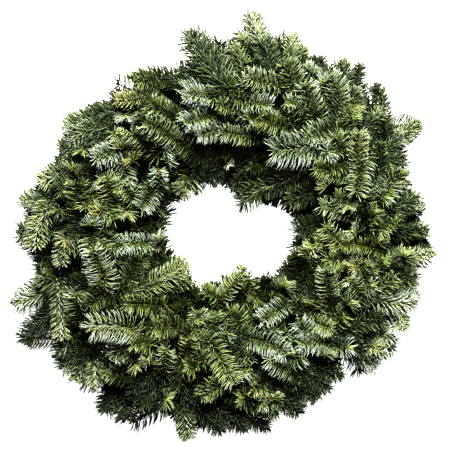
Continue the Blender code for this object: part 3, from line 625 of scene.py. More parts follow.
def lay_out():
    """Every shoot, with the shared list of their points and whether each point may move."""
    shoots, points, free = [], [], []
    for number, (role, bunch, _, turn, tip, *sides) in enumerate(SPRIGS):
        path = main_path(bunch, role, turn, tip)
        main = Shoot(number, list(range(len(points), len(points) + len(path))))
        points.extend(path)
        free.extend([0.0] * (SEAT_STEPS + 1) + [1.0] * (len(path) - SEAT_STEPS - 1))
        shoots.append(main)
        taken = []
        for side in sides:
            root = choose_root(path, place_of(side), taken)
            taken.append(root)
            branch = side_path(path, root, place_of(side))
            indices = [main.points[root]] + list(range(len(points), len(points) + len(branch)))
            points.extend(branch)
            free.extend([1.0] * len(branch))
            shoots.append(Shoot(number, indices, main, root))
    return shoots, np.array(points), np.array(free)


def rail_points(offset):
    """One rail's corners. A whole segment straddles +Y, so that its sides there face straight in and out."""
    half = 180 / RAIL_SEGMENTS
    return [
        on_ring(90 + half + i * 2 * half, RING_RADIUS + offset, RAIL_HEIGHT) for i in range(RAIL_SEGMENTS)
    ]


def cross_wire_ends(number):
    """A cross wire's two ends, under the middle of a bunch's stems, where the binding wire is on top."""
    angle = cut_end(number * BUNCHES // CROSS_WIRES) + along_ring(SEAT_LENGTH / 2)
    return [
        on_ring(angle, RING_RADIUS + side * CROSS_WIRE_HALF_LENGTH, RAIL_HALF_WIDTH) for side in (-1, 1)
    ]


def binding_points():
    """The binding wire's turns, each on top at the middle of a bunch's stems."""
    pitch = 360 / BUNCHES / len(BINDING_TURN)
    start = cut_end(0) + along_ring(SEAT_LENGTH / 2)
    places = []
    for i in range(BUNCHES * len(BINDING_TURN) - 2):
        outward, height = BINDING_TURN[i % len(BINDING_TURN)]
        places.append(on_ring(start + i * pitch, RING_RADIUS + outward * MM, height * MM))
    return places


def wires():
    """The segments of the frame and the binding wire, each with its radius, that the shoots keep clear of."""
    corner = CORNER_SHARE * RAIL_HALF_WIDTH
    runs = [(rail_points(side * RAIL_OFFSET), corner, True) for side in (-1, 1)]
    runs += [(cross_wire_ends(i), corner, False) for i in range(CROSS_WIRES)]
    runs.append((binding_points(), BINDING_RADIUS, False))
    segments = []
    for points, radius, closed in runs:
        ends = points[1:] + points[:1] if closed else points[1:]
        segments.extend((a, b, radius) for a, b in zip(points, ends))
    return segments


def closest(a0, a1, b0, b1):
    """Between segments a and b: how far along each the closest points lie, and the vector from b to a."""
    run_a, run_b, apart = a1 - a0, b1 - b0, a0 - b0
    aa, bb, ab = (run_a**2).sum(-1), (run_b**2).sum(-1), (run_a * run_b).sum(-1)
    a_gap, b_gap = (run_a * apart).sum(-1), (run_b * apart).sum(-1)
    square = np.maximum(aa * bb - ab * ab, 1e-18)
    s = np.clip((ab * b_gap - a_gap * bb) / square, 0, 1)
    t = np.clip((ab * s + b_gap) / bb, 0, 1)
    s = np.clip((ab * t - a_gap) / aa, 0, 1)
    return s, t, a0 + s[..., None] * run_a - b0 - t[..., None] * run_b


def room_along(points, shoot):
    """The room that each segment of a shoot keeps, from its bare radius at the stem to its spray's."""
    lengths = np.linalg.norm(np.diff(points[shoot.points], axis=0), axis=1)
    start = 0.0 if shoot.parent else SEAT_LENGTH
    gone = np.clip((np.cumsum(lengths) - start) / ROOM_GROWS_OVER, 0, 1)
    bare = STEM_RADIUS + GAP / 2
    return bare + (SPRAY_ROOM - bare) * gone


def may_touch(one, other):
    """Whether two (shoot, segment) pairs are neighbours by growth, which never push each other."""
    (a, i), (b, j) = one, other
    if a is b:
        return abs(i - j) < SAME_SHOOT
    if a.parent is b:
        return i < ROUND_ROOT[0] and abs(j + 0.5 - a.root) < ROUND_ROOT[1]
    if b.parent is a:
        return j < ROUND_ROOT[0] and abs(i + 0.5 - b.root) < ROUND_ROOT[1]
    return False


def near_pairs(points, first, last, stiff, owners, known):
    """The pairs of segments that lie near each other and may push each other. Known keeps what was found."""
    centre = (points[first] + points[last]) / 2
    spread = np.linalg.norm(points[last] - points[first], axis=1) / 2
    apart = np.linalg.norm(centre[:, None] - centre[None], axis=2)
    one, other = np.nonzero(np.triu(apart < spread[:, None] + spread[None] + LOOK_ROUND, 1))
    keep = ~(stiff[one] & stiff[other])
    one, other = one[keep], other[keep]
    for a, b in zip(one, other):
        if (a, b) not in known:
            grown = owners[a] is not None and owners[b] is not None
            known[a, b] = grown and may_touch(owners[a], owners[b])
    keep = np.array([not known[a, b] for a, b in zip(one, other)])
    return one[keep], other[keep]


def settle(shoots, points, free):
    """Bends the shoots clear of each other and of the wires in smooth lines, as a hand would lay them."""
    owners, first, last, room = [], [], [], []
    for shoot in shoots:
        spaces = room_along(points, shoot)
        for i, (a, b) in enumerate(zip(shoot.points, shoot.points[1:])):
            owners.append((shoot, i))
            first.append(a)
            last.append(b)
            room.append(spaces[i])
    wire = wires()
    ends = np.array([[a, b] for a, b, _ in wire])
    points = np.vstack((points, ends.reshape(-1, 3)))
    movable = np.concatenate((free, np.zeros(2 * len(wire))))
    for i, (_, _, radius) in enumerate(wire):
        owners.append(None)
        first.append(len(free) + 2 * i)
        last.append(len(free) + 2 * i + 1)
        room.append(radius + WIRE_ROOM)
    first, last, room = np.array(first), np.array(last), np.array(room)
    stiff = movable[first] + movable[last] == 0
    rest = points.copy()
    middle = [i for shoot in shoots for i in shoot.points[1:-1]]
    before = [i for shoot in shoots for i in shoot.points[:-2]]
    after = [i for shoot in shoots for i in shoot.points[2:]]
    known = {}
    for step in range(SETTLE_STEPS + HARD_STEPS):
        hard = step >= SETTLE_STEPS
        if step % LOOK_AGAIN == 0:
            one, other = near_pairs(points, first, last, stiff, owners, known)
        s, t, away = closest(points[first[one]], points[last[one]], points[first[other]], points[last[other]])
        distance = np.maximum(np.linalg.norm(away, axis=1), 1e-6)
        wanted = room[one] + room[other]
        if hard:
            wanted = np.minimum(wanted, 2 * STEM_RADIUS + HARD_ROOM)
        push = (np.clip(wanted - distance, 0, None) * 0.5 / distance)[:, None] * away
        move = np.zeros_like(points)
        for which, along, sign in ((one, s, 1), (other, t, -1)):
            np.add.at(move, first[which], sign * push * (1 - along)[:, None])
            np.add.at(move, last[which], sign * push * along[:, None])
        size = np.linalg.norm(move, axis=1, keepdims=True)
        move *= np.minimum(1, LONGEST_MOVE / np.maximum(size, 1e-9))
        points += move * movable[:, None]
        even = (points[before] + points[after]) / 2 - points[middle]
        bent = np.zeros_like(points)
        np.add.at(bent, middle, EVENING[hard] * even)
        points += bent * movable[:, None]
        if not hard:
            points += PULL_BACK * (rest - points) * movable[:, None]
        points[:, 2] = np.where(movable > 0, np.maximum(points[:, 2], LOWEST_CORE), points[:, 2])
    return points[: len(free)]


@dataclass
class Spray:
    """One unbranched shoot as it is drawn: its line, the way its upper side faces, tone and needles."""

    path: np.ndarray
    up: np.ndarray
    tone: tuple
    spacing: float = NEEDLE_SPACING
    bare: float = 4 * MM
    thick: float = TWIG_RADIUS
    needle: float = NEEDLE
    width: float = NEEDLE_WIDTH
    lean: float = 0.0
    rank: float = 0.0
    tip_needles: int = TIP_NEEDLES


class Growth:
    """The mesh of one sprig, gathered part by part."""

    def __init__(self):
        self.points, self.corners, self.sizes, self.uvs = [], [], [], []
        self.along, self.across, self.tone, self.material = [], [], [], []
        self.count = 0

    def add(self, points, faces, uvs, along, across, tone, material):
        """Faces is a list of arrays of corner numbers, one row a face."""
        for block in faces:
            self.corners.append(block.reshape(-1) + self.count)
            self.sizes.append(np.full(len(block), block.shape[1]))
            self.material.append(np.full(len(block), material))
        self.uvs.append(uvs.reshape(-1, 2))
        self.points.append(points)
        self.along.append(along)
        self.across.append(across)
        self.tone.append(np.broadcast_to(tone, (len(points), 4)))
        self.count += len(points)

    def object(self, name, materials):
        """The mesh as an object of the scene, with what its materials read kept at each point."""
        mesh = bpy.data.meshes.new(name)
        corners, sizes = np.concatenate(self.corners), np.concatenate(self.sizes)
        mesh.vertices.add(self.count)
        mesh.vertices.foreach_set("co", np.concatenate(self.points).reshape(-1))
        mesh.loops.add(len(corners))
        mesh.loops.foreach_set("vertex_index", corners)
        mesh.polygons.add(len(sizes))
        mesh.polygons.foreach_set("loop_start", np.concatenate(((0,), np.cumsum(sizes)[:-1])))
        mesh.polygons.foreach_set("material_index", np.concatenate(self.material))
        mesh.polygons.foreach_set("use_smooth", np.ones(len(sizes), bool))
        mesh.update(calc_edges=True)
        mesh.uv_layers.new(name="OFBake").data.foreach_set("uv", np.concatenate(self.uvs).reshape(-1))
        for label, kind, slot, values in (
            ("along", "FLOAT", "value", self.along),
            ("across", "FLOAT", "value", self.across),
            ("tone", "FLOAT_COLOR", "color", self.tone),
        ):
            kept = mesh.attributes.new(label, kind, "POINT")
            kept.data.foreach_set(slot, np.concatenate(values).reshape(-1))
        mesh.validate()
        for material in materials:
            mesh.materials.append(material)
        thing = bpy.data.objects.new(name, mesh)
        bpy.context.scene.collection.objects.link(thing)
        return thing


def units(vectors):
    return vectors / np.maximum(np.linalg.norm(vectors, axis=-1, keepdims=True), 1e-12)


def distances(path):
    """How far along a path each of its points is."""
    return np.concatenate(((0,), np.cumsum(np.linalg.norm(np.diff(path, axis=0), axis=1))))


def sample(path, places):
    """Points at the given distances along a path, and the run there."""
    gone = distances(path)
    at, run = (
        np.stack([np.interp(places, gone, values[:, axis]) for axis in range(3)], axis=-1)
        for values in (path, units(np.gradient(path, axis=0)))
    )
    return at, units(run)


def soften(path, step=4 * MM):
    """The path with its corners cut twice, in even steps."""
    for _ in range(2):
        early = 0.75 * path[:-1] + 0.25 * path[1:]
        late = 0.25 * path[:-1] + 0.75 * path[1:]
        between = np.stack((early, late), axis=1).reshape(-1, 3)
        path = np.vstack((path[:1], between, path[-1:]))
    length = distances(path)[-1]
    return sample(path, np.linspace(0, length, max(4, round(length / step) + 1)))[0]


def outward_up(place):
    """The way the foliage's surface faces at a place, tilted away from the ring's own line."""
    flat = np.array((place[0], place[1], 0.0))
    reach = np.linalg.norm(flat)
    return unit(UP + flat / reach * (reach - RING_RADIUS) / FRONT_ROUNDING)


def front_height(reach):
    return np.interp(reach / MM, FRONT_REACH, FRONT_HEIGHT) * MM


def share_between(values, low, high):
    return np.clip((values - low) / (high - low), 0, 1)


def in_shaded_hollow(places):
    """Whether each place is in the hollow between the top of the crown and the wreath's hole, which gets
    painted shade.
    """
    degrees = np.degrees(np.arctan2(places[:, 1], places[:, 0]))
    reach = np.linalg.norm(places[:, :2], axis=1)
    (first, last), far, high = SHADED_HOLLOW
    return (degrees > first) & (degrees < last) & (reach < far) & (places[:, 2] < high)


def edges(place):
    """The outer reach and the hole's reach in the place's direction."""
    degrees = math.degrees(math.atan2(place[1], place[0])) % 360
    turns, *reaches = zip(*EDGE)
    return [np.interp(degrees, turns, reach, period=360) * MM for reach in reaches]


def from_photo(x, y):
    """The place on the table that a pixel of the photograph shows."""
    return np.array(((x - PHOTO_MIDDLE[0]) * PIXEL, (PHOTO_MIDDLE[1] - y) * PIXEL, 0.0))


def strip_faces(rings, sides):
    """Quads between consecutive rings of corners, in order along the strip."""
    i = np.arange(rings - 1)[:, None] * sides
    k = np.arange(sides)[None]
    j = (k + 1) % sides
    return np.stack((i + k, i + j, i + sides + j, i + sides + k), axis=-1).reshape(-1, 4)


def strip_uvs(rings, sides):
    """The texture places of a strip's quads, side by side over the walls' share of a cell."""
    v = np.arange(rings - 1)[:, None] / (rings - 1)
    u = WALL_SHARE * np.arange(sides)[None] / sides
    du, dv = WALL_SHARE / sides, 1 / (rings - 1)
    u, v = np.broadcast_arrays(u, v)
    corners = ((u, v), (u + du, v), (u + du, v + dv), (u, v + dv))
    return np.stack([np.stack(corner, -1) for corner in corners], axis=2).reshape(-1, 4, 2)


def cell(number, count, low, high):
    """The low corner and size of one cell of a grid that fills a band of the texture."""
    across = math.ceil(math.sqrt(count / (high - low)))
    rows = math.ceil(count / across)
    number = np.asarray(number)
    corner = np.stack(((number % across) / across, low + (number // across) * (high - low) / rows), axis=-1)
    return corner, np.array((CELL_SHARE / across, CELL_SHARE * (high - low) / rows))


def turned(angle, one, other):
    """Directions between two others, by angle from the first."""
    return np.cos(angle)[:, None] * one + np.sin(angle)[:, None] * other


def needle_places(spray, length, count, rng):
    """How far along its shoot each needle sits: evenly or in ranks, and then the tuft at the tip."""
    place = spray.bare + (np.arange(count) + rng.random(count)) * spray.spacing
    if spray.rank:
        place = (np.floor(place / spray.rank) + rng.normal(0.5, RANK_SCATTER, count)) * spray.rank
    return np.append(place, length - rng.random(spray.tip_needles) * TIP_TUFT * MM)


def lay_needles(spray, rng):
    """A spray's needles: base, direction there and at the end, upper side, length, tone and width of each."""
    length = distances(spray.path)[-1]
    count = int((length - spray.bare) / spray.spacing)
    if count < 1:
        return None
    place = needle_places(spray, length, count, rng)
    count = len(place)
    at, run = sample(spray.path, np.minimum(place, length))
    up = units(spray.up - run * (run @ spray.up)[:, None])
    side = np.cross(run, up)
    around = (np.arange(count) * GOLDEN_ANGLE + rng.normal(0, AROUND_SCATTER, count)) % 360 - 180
    around = np.sign(around) * 180 * (np.abs(around) / 180) ** TOP_CROWDING
    core = 1 - share_between(np.abs(around), *CORE)
    first, second = (np.radians(around * share) for share in DRAWN_IN)
    to_tip = np.clip((length - place) / TIP_BRUSH, 0, 1)
    spread = to_tip + (1 - to_tip) * np.sqrt(rng.uniform(*TIP_CLOSED, count))
    lean = spread * (1 + LEAN_SCATTER * rng.standard_normal(count))
    beside = np.clip(np.abs(around) / TOP_ENDS_AT, 0, 1)
    start_lean, end_lean = (
        np.radians(top + (level - top) * beside + spray.lean * beside + more) * lean
        for top, level, more in zip(TOP_LEANS, SIDE_LEANS, (0, TIP_SPREAD * (1 - to_tip)))
    )
    start = turned(start_lean, run, turned(first, up, side))
    end = turned(end_lean, run, turned(second, up, side))
    twist = rng.normal(0, TWIST_SCATTER, (count, 1))
    flat = np.abs(np.sin(second))[:, None] * up + np.abs(np.cos(second))[:, None] * run
    share = FIRST_SHARE + (1 - FIRST_SHARE) * np.clip(place / FULL_AFTER, 0, 1)
    share = share * (1 - TIP_SHORTER * (1 - to_tip))
    size = spray.needle * share * (1 - CORE_SHORTER * core) * rng.normal(1, LENGTH_SCATTER, count)
    # Painted shade: needles deep under the front, in the hollow and under the shoot are darkened and lose
    # their bloom.
    deep = front_height(np.linalg.norm(at[:, :2], axis=1)) - at[:, 2]
    inside = np.maximum(share_between(deep, *SHADE_DEPTHS), in_shaded_hollow(at))
    inside = np.maximum(inside, UNDER_SHADE * share_between(np.abs(around), *UNDER))[:, None]
    tone = np.array(spray.tone) + core[:, None] * CORE_TONE
    tone = tone * (1 - inside) + PAINTED_SHADE_TONE * inside + rng.normal(0, NEEDLE_VARIETY, (count, 4))
    return (
        at, start, end, units(flat + twist * side), np.minimum(size, NEEDLE_CEILING - at[:, 2]),
        np.clip(tone, 0, 1), np.full(count, spray.width),
    )


def add_needles(growth, sprays, rng):
    """All the needles of a sprig's sprays, as one block of arrays."""
    laid = [needles for needles in (lay_needles(spray, rng) for spray in sprays) if needles]
    base, start, end, face, length, tone, width = (np.concatenate(values) for values in zip(*laid))
    s = NEEDLE_STATIONS[None, :, None]
    bowed = start[:, None] * (s - s**2 / 2) + end[:, None] * s**2 / 2
    middle = base[:, None] + length[:, None, None] * bowed
    run = units(start[:, None] * (1 - s) + end[:, None] * s)
    upper = units(face[:, None] - run * (run * face[:, None]).sum(-1, keepdims=True))
    side = np.cross(run, upper)
    angles = np.arange(NEEDLE_CORNERS) * 2 * math.pi / NEEDLE_CORNERS
    half = width[:, None, None, None] / 2 * NEEDLE_OUTLINE[None, :, None, None]
    level, thick = np.cos(angles)[:, None], NEEDLE_THINNESS * np.sin(angles)[:, None]
    corners = middle[:, :, None] + half * (level * side[:, :, None] + thick * upper[:, :, None])
    clear = corners[..., 2].min(axis=(1, 2)) > LOWEST_NEEDLE
    corners, tone = corners[clear], tone[clear]
    count, stations = len(corners), len(NEEDLE_STATIONS)
    each = stations * NEEDLE_CORNERS
    caps = np.array(((3, 2, 1, 0), (each - 4, each - 3, each - 2, each - 1)))
    quads = np.vstack((strip_faces(stations, NEEDLE_CORNERS), caps))
    uvs = np.vstack((strip_uvs(stations, NEEDLE_CORNERS), NEEDLE_CAPS))
    corner, size = cell(np.arange(count), count, *NEEDLE_BAND)
    growth.add(
        corners.reshape(-1, 3),
        [(np.arange(count)[:, None, None] * each + quads[None]).reshape(-1, 4)],
        corner[:, None, None] + uvs[None] * size,
        np.tile(np.repeat(NEEDLE_STATIONS, NEEDLE_CORNERS), count),
        np.tile(np.sin(angles).round(), count * stations),
        np.repeat(tone, each, axis=0),
        0,
    )


def tube_mesh(path, radii, sides):
    """Corners and faces of a round tube along a path, with a flat cap at each end."""
    run = units(np.gradient(path, axis=0))
    across = unit(np.cross(run[0], UP)) if abs(run[0] @ UP) < 0.98 else np.array((1.0, 0.0, 0.0))
    angles = np.arange(sides) * 2 * math.pi / sides
    rings = []
    for place, ahead, radius in zip(path, run, radii):
        across = unit(across - ahead * (across @ ahead))
        rings.append(place + radius * turned(angles, across, np.cross(ahead, across)))
    caps = np.array((np.arange(sides)[::-1], np.arange(sides) + (len(path) - 1) * sides))
    return np.concatenate(rings), [strip_faces(len(path), sides), caps]


def add_tube(growth, path, radii, sides, corner, size, tone=(0, 0, 0, 0), material=0):
    """Adds a tube to a growth, in one cell of the texture, with its length and turn kept at each point."""
    points, faces = tube_mesh(path, radii, sides)
    rings = len(path)
    turn = np.arange(sides) / sides
    cap = CAP_RADIUS * np.stack((np.cos(turn * 2 * math.pi), np.sin(turn * 2 * math.pi)), axis=-1)
    walls = strip_uvs(rings, sides).reshape(-1, 2)
    uvs = np.vstack((walls, *(cap + place for place in CAP_MIDDLES)))
    growth.add(
        points, faces, corner + uvs * size,
        np.repeat(distances(path) / MM, sides), np.tile(turn, rings), tone, material,
    )


def add_bark(growth, sprays):
    """Each spray's woody shoot, which thins toward its tip."""
    for number, spray in enumerate(sprays):
        corner, size = cell(number, len(sprays), *BARK_BAND)
        gone = distances(spray.path)
        radii = np.interp(gone, (0, gone[-1]), (spray.thick, BARK_TAPER * TWIG_RADIUS))
        add_tube(growth, spray.path, radii, BARK_SIDES, corner, size, spray.tone, 1)


def add_buds(growth, sprays, rng):
    """A cluster of blunt buds at each tip: one on the shoot's line and the others round it."""
    places = []
    for spray in sprays:
        tip = spray.path[-1]
        run = unit(tip - spray.path[-3])
        side = unit(np.cross(run, spray.up))
        turn = rng.random() * 360
        places.append((tip, run, 1.0))
        for k in range(SIDE_BUDS):
            angle = math.radians(turn + 360 / SIDE_BUDS * k)
            out = math.cos(angle) * side + math.sin(angle) * np.cross(run, side)
            places.append((tip + SIDE_BUD_OUT * out, unit(run + SIDE_BUD_SPREAD * out), SIDE_BUD_SHARE))
    for number, (place, run, share) in enumerate(places):
        corner, size = cell(number, len(places), *BUD_BAND)
        length, radius = (share * value for value in BUD)
        line = place + BUD_STATIONS[:, None] * length * run
        add_tube(growth, line, radius * BUD_OUTLINE, BUD_SIDES, corner, size, material=2)


def side_twigs(host, rng):
    """The short side shoots of a spray, left and right by turns, within the wreath's outline."""
    length = distances(host.path)[-1]
    twigs = []
    left = 1 if rng.random() < 0.5 else -1
    place = length - LAST_SIDE_TWIG
    while place > host.bare + SIDE_TWIG_CLEAR:
        at, run = (row[0] for row in sample(host.path, np.array([place + rng.normal(0, PLACE_SCATTER) * MM])))
        up = unit(host.up - run * (run @ host.up))
        side = left * np.cross(run, up)
        lean = math.radians(SIDE_TWIG_LEAN + rng.normal(0, TWIG_LEAN_SCATTER))
        out = unit(math.cos(lean) * run + math.sin(lean) * side + rng.normal(*SIDE_TWIG_SAGS) * up)
        longest = min(SIDE_TWIG_LONGEST, 0.5 * (length - place) + SIDE_TWIG_MORE)
        reach = longest * rng.normal(1, TWIG_LENGTH_SCATTER)
        for share in SIDE_TWIG_SHARES:
            end = at + share * reach * unit(out + SIDE_SWEEP[1] * run)
            outer, hole = edges(end)
            far, near = outer - SIDE_TWIG_INSIDE[0], hole + SIDE_TWIG_INSIDE[1]
            if near < np.linalg.norm(end[:2]) < far and LOWEST_CORE < end[2]:
                arriving = unit(out + SIDE_TWIG_SWEEP * run)
                path = soften(bend(at, out, end, arriving, SIDE_PULL, SIDE_STEPS))
                # Painted shade: side twigs are duller and darker than their shoot.
                tone = FILLER_TONE * np.array(host.tone) + FILLER_SHADE
                tone = tone + rng.normal(0, TONE_SCATTER, 4)
                twigs.append(Spray(path, up, tone, FILLER_SPACING, SIDE_BARE, SIDE_TWIG_RADIUS))
                break
        place -= SIDE_TWIG_EVERY * rng.normal(1, EVERY_SCATTER)
        left = -left
    return twigs


def grown_sprays(shoots, points, rng):
    """The sprays on the shoots that the solids have, with their side twigs, as one list for each sprig."""
    sprigs = [[] for _ in SPRIGS]
    for shoot in shoots:
        path = soften(points[shoot.points])
        path = np.vstack((path, path[-1] + GROWN_ON * unit(path[-1] - path[-3])))
        # The solids' shoots are duller than their sprig's tone, with a little painted shade.
        tone = GROWN_TONE * TONES[SPRIGS[shoot.sprig][2]] + GROWN_SHADE
        kind = (NEEDLE_SPACING, SIDE_BARE) if shoot.parent else (STEM_SPACING, SEAT_LENGTH, STEM_RADIUS)
        spray = Spray(path, outward_up(path[-1]), tone, *kind)
        sprigs[shoot.sprig].append(spray)
        sprigs[shoot.sprig] += side_twigs(spray, rng)
    return sprigs


def add_low_sprays(sprigs, stems, owners, rng):
    """Adds a mat of foliage low over the frame, dark green and in painted shade, which lets no table show
    through.
    """
    for count, turn, which, height in LOW_ROWS:
        for degrees in np.arange(count) * 360 / count:
            inset = (-LOW_INSET, LOW_INSET)[which]
            root = on_ring(degrees + rng.normal(0, 1), RING_RADIUS + inset / 2, height * MM)
            ahead = degrees + LOW_SWEEP
            end = edges(on_ring(ahead, 1.0))[which] + inset
            out = abs(end - RING_RADIUS) / (100 * MM)
            tip = on_ring(degrees + LOW_SWEEP * out, end, (height - LOW_FALL) * MM)
            leaving = heading(degrees, turn * LOW_ROOT_TURN, LOW_RISE)
            path = bend(root, leaving, tip, heading(ahead, turn, 0), SIDE_PULL, SIDE_STEPS)
            nearest = int(np.argmin(np.linalg.norm(stems - root, axis=1)))
            sprigs[owners[nearest]].append(Spray(
                soften(path), UP, TONES["deep"], LOW_SPACING, 0.0,
                needle=LOW_NEEDLE, width=LOW_WIDTH, lean=LOW_LEAN,
            ))


def add_shown_sprays(sprigs, stems, owners, rng):
    """Adds the sprays that the photograph shows, each grown from the nearest shoot behind it."""
    for tone, x, y, tip_x, tip_y, *extra in SHOWN:
        lift, share = extra + [0, 1.0][len(extra):]
        lift, tone_ranks, tone = lift * MM, RANKS.get(tone, RANK), np.array(TONES[tone])
        base, tip = from_photo(x, y), from_photo(tip_x, tip_y)
        base[2] = front_height(np.linalg.norm(base)) - BASE_DEPTH + BASE_LIFT * lift
        tip[2] = front_height(np.linalg.norm(tip)) + rng.uniform(*TIP_SCATTER) * MM + lift
        run = unit(tip - base)
        nearest = int(np.argmin(np.linalg.norm(stems - (base - BEHIND * run), axis=1)))
        root, sprig = stems[nearest], sprigs[owners[nearest]]
        lead = bend(root, unit(base - root), base, run, LEAD_PULL, LEAD_STEPS)
        side = np.cross(run, UP) * rng.normal(0, BOW) * np.linalg.norm(tip - base)
        path = soften(np.vstack((lead, base + 0.5 * (tip - base) + side, tip - SHOWN_INSET * run)))
        up = outward_up(tip)
        near_edge = np.linalg.norm(tip[:2]) > edges(tip)[0] - NEAR_EDGE
        # Near the edge the shoot, its core and its lower twin get painted shade.
        sprig.append(Spray(
            path, up, tone + near_edge * EDGE_SHADE, EDGE_SPACING if near_edge else SHOWN_SPACING,
            needle=share * NEEDLE, width=EDGE_WIDTH if near_edge else NEEDLE_WIDTH, lean=SHOWN_LEAN,
            rank=tone_ranks, tip_needles=SHOWN_TIP_NEEDLES,
        ))
        if near_edge:
            sprig.append(Spray(
                path, up, tone * CLOSED_TONE + CLOSED_SHADE, CLOSED_SPACING,
                needle=CLOSED_NEEDLE, width=CLOSED_WIDTH, tip_needles=0,
            ))
            twin = np.vstack((lead, base + 0.5 * (tip - base) - side, tip - TWIN_INSET * run))
            twin = twin - TWIN_DROP * UP
            sprig.append(Spray(
                soften(twin), up, tone * TWIN_TONE + FILLER_SHADE, TWIN_SPACING, needle=share * NEEDLE,
            ))


def add_end_on_sprays(sprigs, stems, owners, rng):
    """Adds the shoots that point straight out of the photograph, each grown from a shoot under it."""
    for tone, x, y, *extra in END_ON:
        lift, share = extra or END_ON_USUAL
        tip = from_photo(x, y)
        tip[2] = front_height(np.linalg.norm(tip)) + lift * MM
        below = np.abs(stems[:, 2] - tip[2] + END_ON_STEM)
        nearest = int(np.argmin(np.linalg.norm((stems - tip)[:, :2], axis=1) + below))
        root = stems[nearest]
        up = unit(rng.normal(0, 1, 3) * (1, 1, 0))
        end, arriving = tip - END_ON_INSET * UP, unit(UP + END_ON_TILT * up)
        path = soften(bend(root, unit(tip - root), end, arriving, SIDE_PULL, SIDE_STEPS))
        sprigs[owners[nearest]].append(Spray(path, up, TONES[tone], needle=share * NEEDLE))


def dress_sprigs(centre, materials):
    """Builds every sprig with its real needles in place of its solid."""
    shoots, points, free = lay_out()
    points = settle(shoots, points, free)
    rng = np.random.default_rng(7)
    sprigs = grown_sprays(shoots, points, rng)
    owners = [shoot.sprig for shoot in shoots for _ in shoot.points[SEAT_STEPS + 2:-1]]
    stems = np.vstack([points[shoot.points[SEAT_STEPS + 2:-1]] for shoot in shoots])
    for add_sprays in (add_low_sprays, add_shown_sprays, add_end_on_sprays):
        add_sprays(sprigs, stems, owners, rng)
    for (role, bunch, tone, *_), sprays in zip(SPRIGS, sprigs):
        growth = Growth()
        add_needles(growth, sprays, rng)
        add_bark(growth, sprays)
        add_buds(growth, sprays, rng)
        node = f"{role}_sprig_{bunch + 1:02d}"
        piece = growth.object(f"{node}_foliage", materials)
        piece.location = centre
        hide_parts(node)
        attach(piece, "root")


def linear(code):
    """An sRGB hex colour as linear red, green, blue and alpha."""
    channels = [int(code[i:i + 2], 16) / 255 for i in (1, 3, 5)]
    return (*(c / 12.92 if c <= 0.04045 else ((c + 0.055) / 1.055) ** 2.4 for c in channels), 1.0)


# Settings for two kinds of node: a mix of two colours, whose colour output is the third, and a smooth
# change of range. A mix takes its share at 0 and its colours at 6 and 7. A range takes the value at 0, then
# from and to.
COLOURS = {"output": 2, "data_type": "RGBA"}
SMOOTH = {"interpolation_type": "SMOOTHSTEP"}


def add(tree, kind, inputs=None, output=0, **settings):
    """Adds a node with its settings and gives one of its outputs. An input takes a constant or an output."""
    made = tree.nodes.new("ShaderNode" + kind)
    for name, value in settings.items():
        setattr(made, name, value)
    for socket, value in (inputs or {}).items():
        if isinstance(value, bpy.types.NodeSocket):
            tree.links.new(value, made.inputs[socket])
        else:
            made.inputs[socket].default_value = value
    return made.outputs[output]


def new_material(name):
    material = bpy.data.materials.new(name)
    material.use_nodes = True
    return material, material.node_tree, material.node_tree.nodes["Principled BSDF"]


def finish_surface(tree, shader, colour, roughness, height, distance, strength=0.5):
    """Links a surface's colour, roughness and fine relief to its shader."""
    tree.links.new(colour, shader.inputs["Base Color"])
    tree.links.new(roughness, shader.inputs["Roughness"])
    relief = add(tree, "Bump", {"Height": height, "Distance": distance, "Strength": strength})
    tree.links.new(relief, shader.inputs["Normal"])


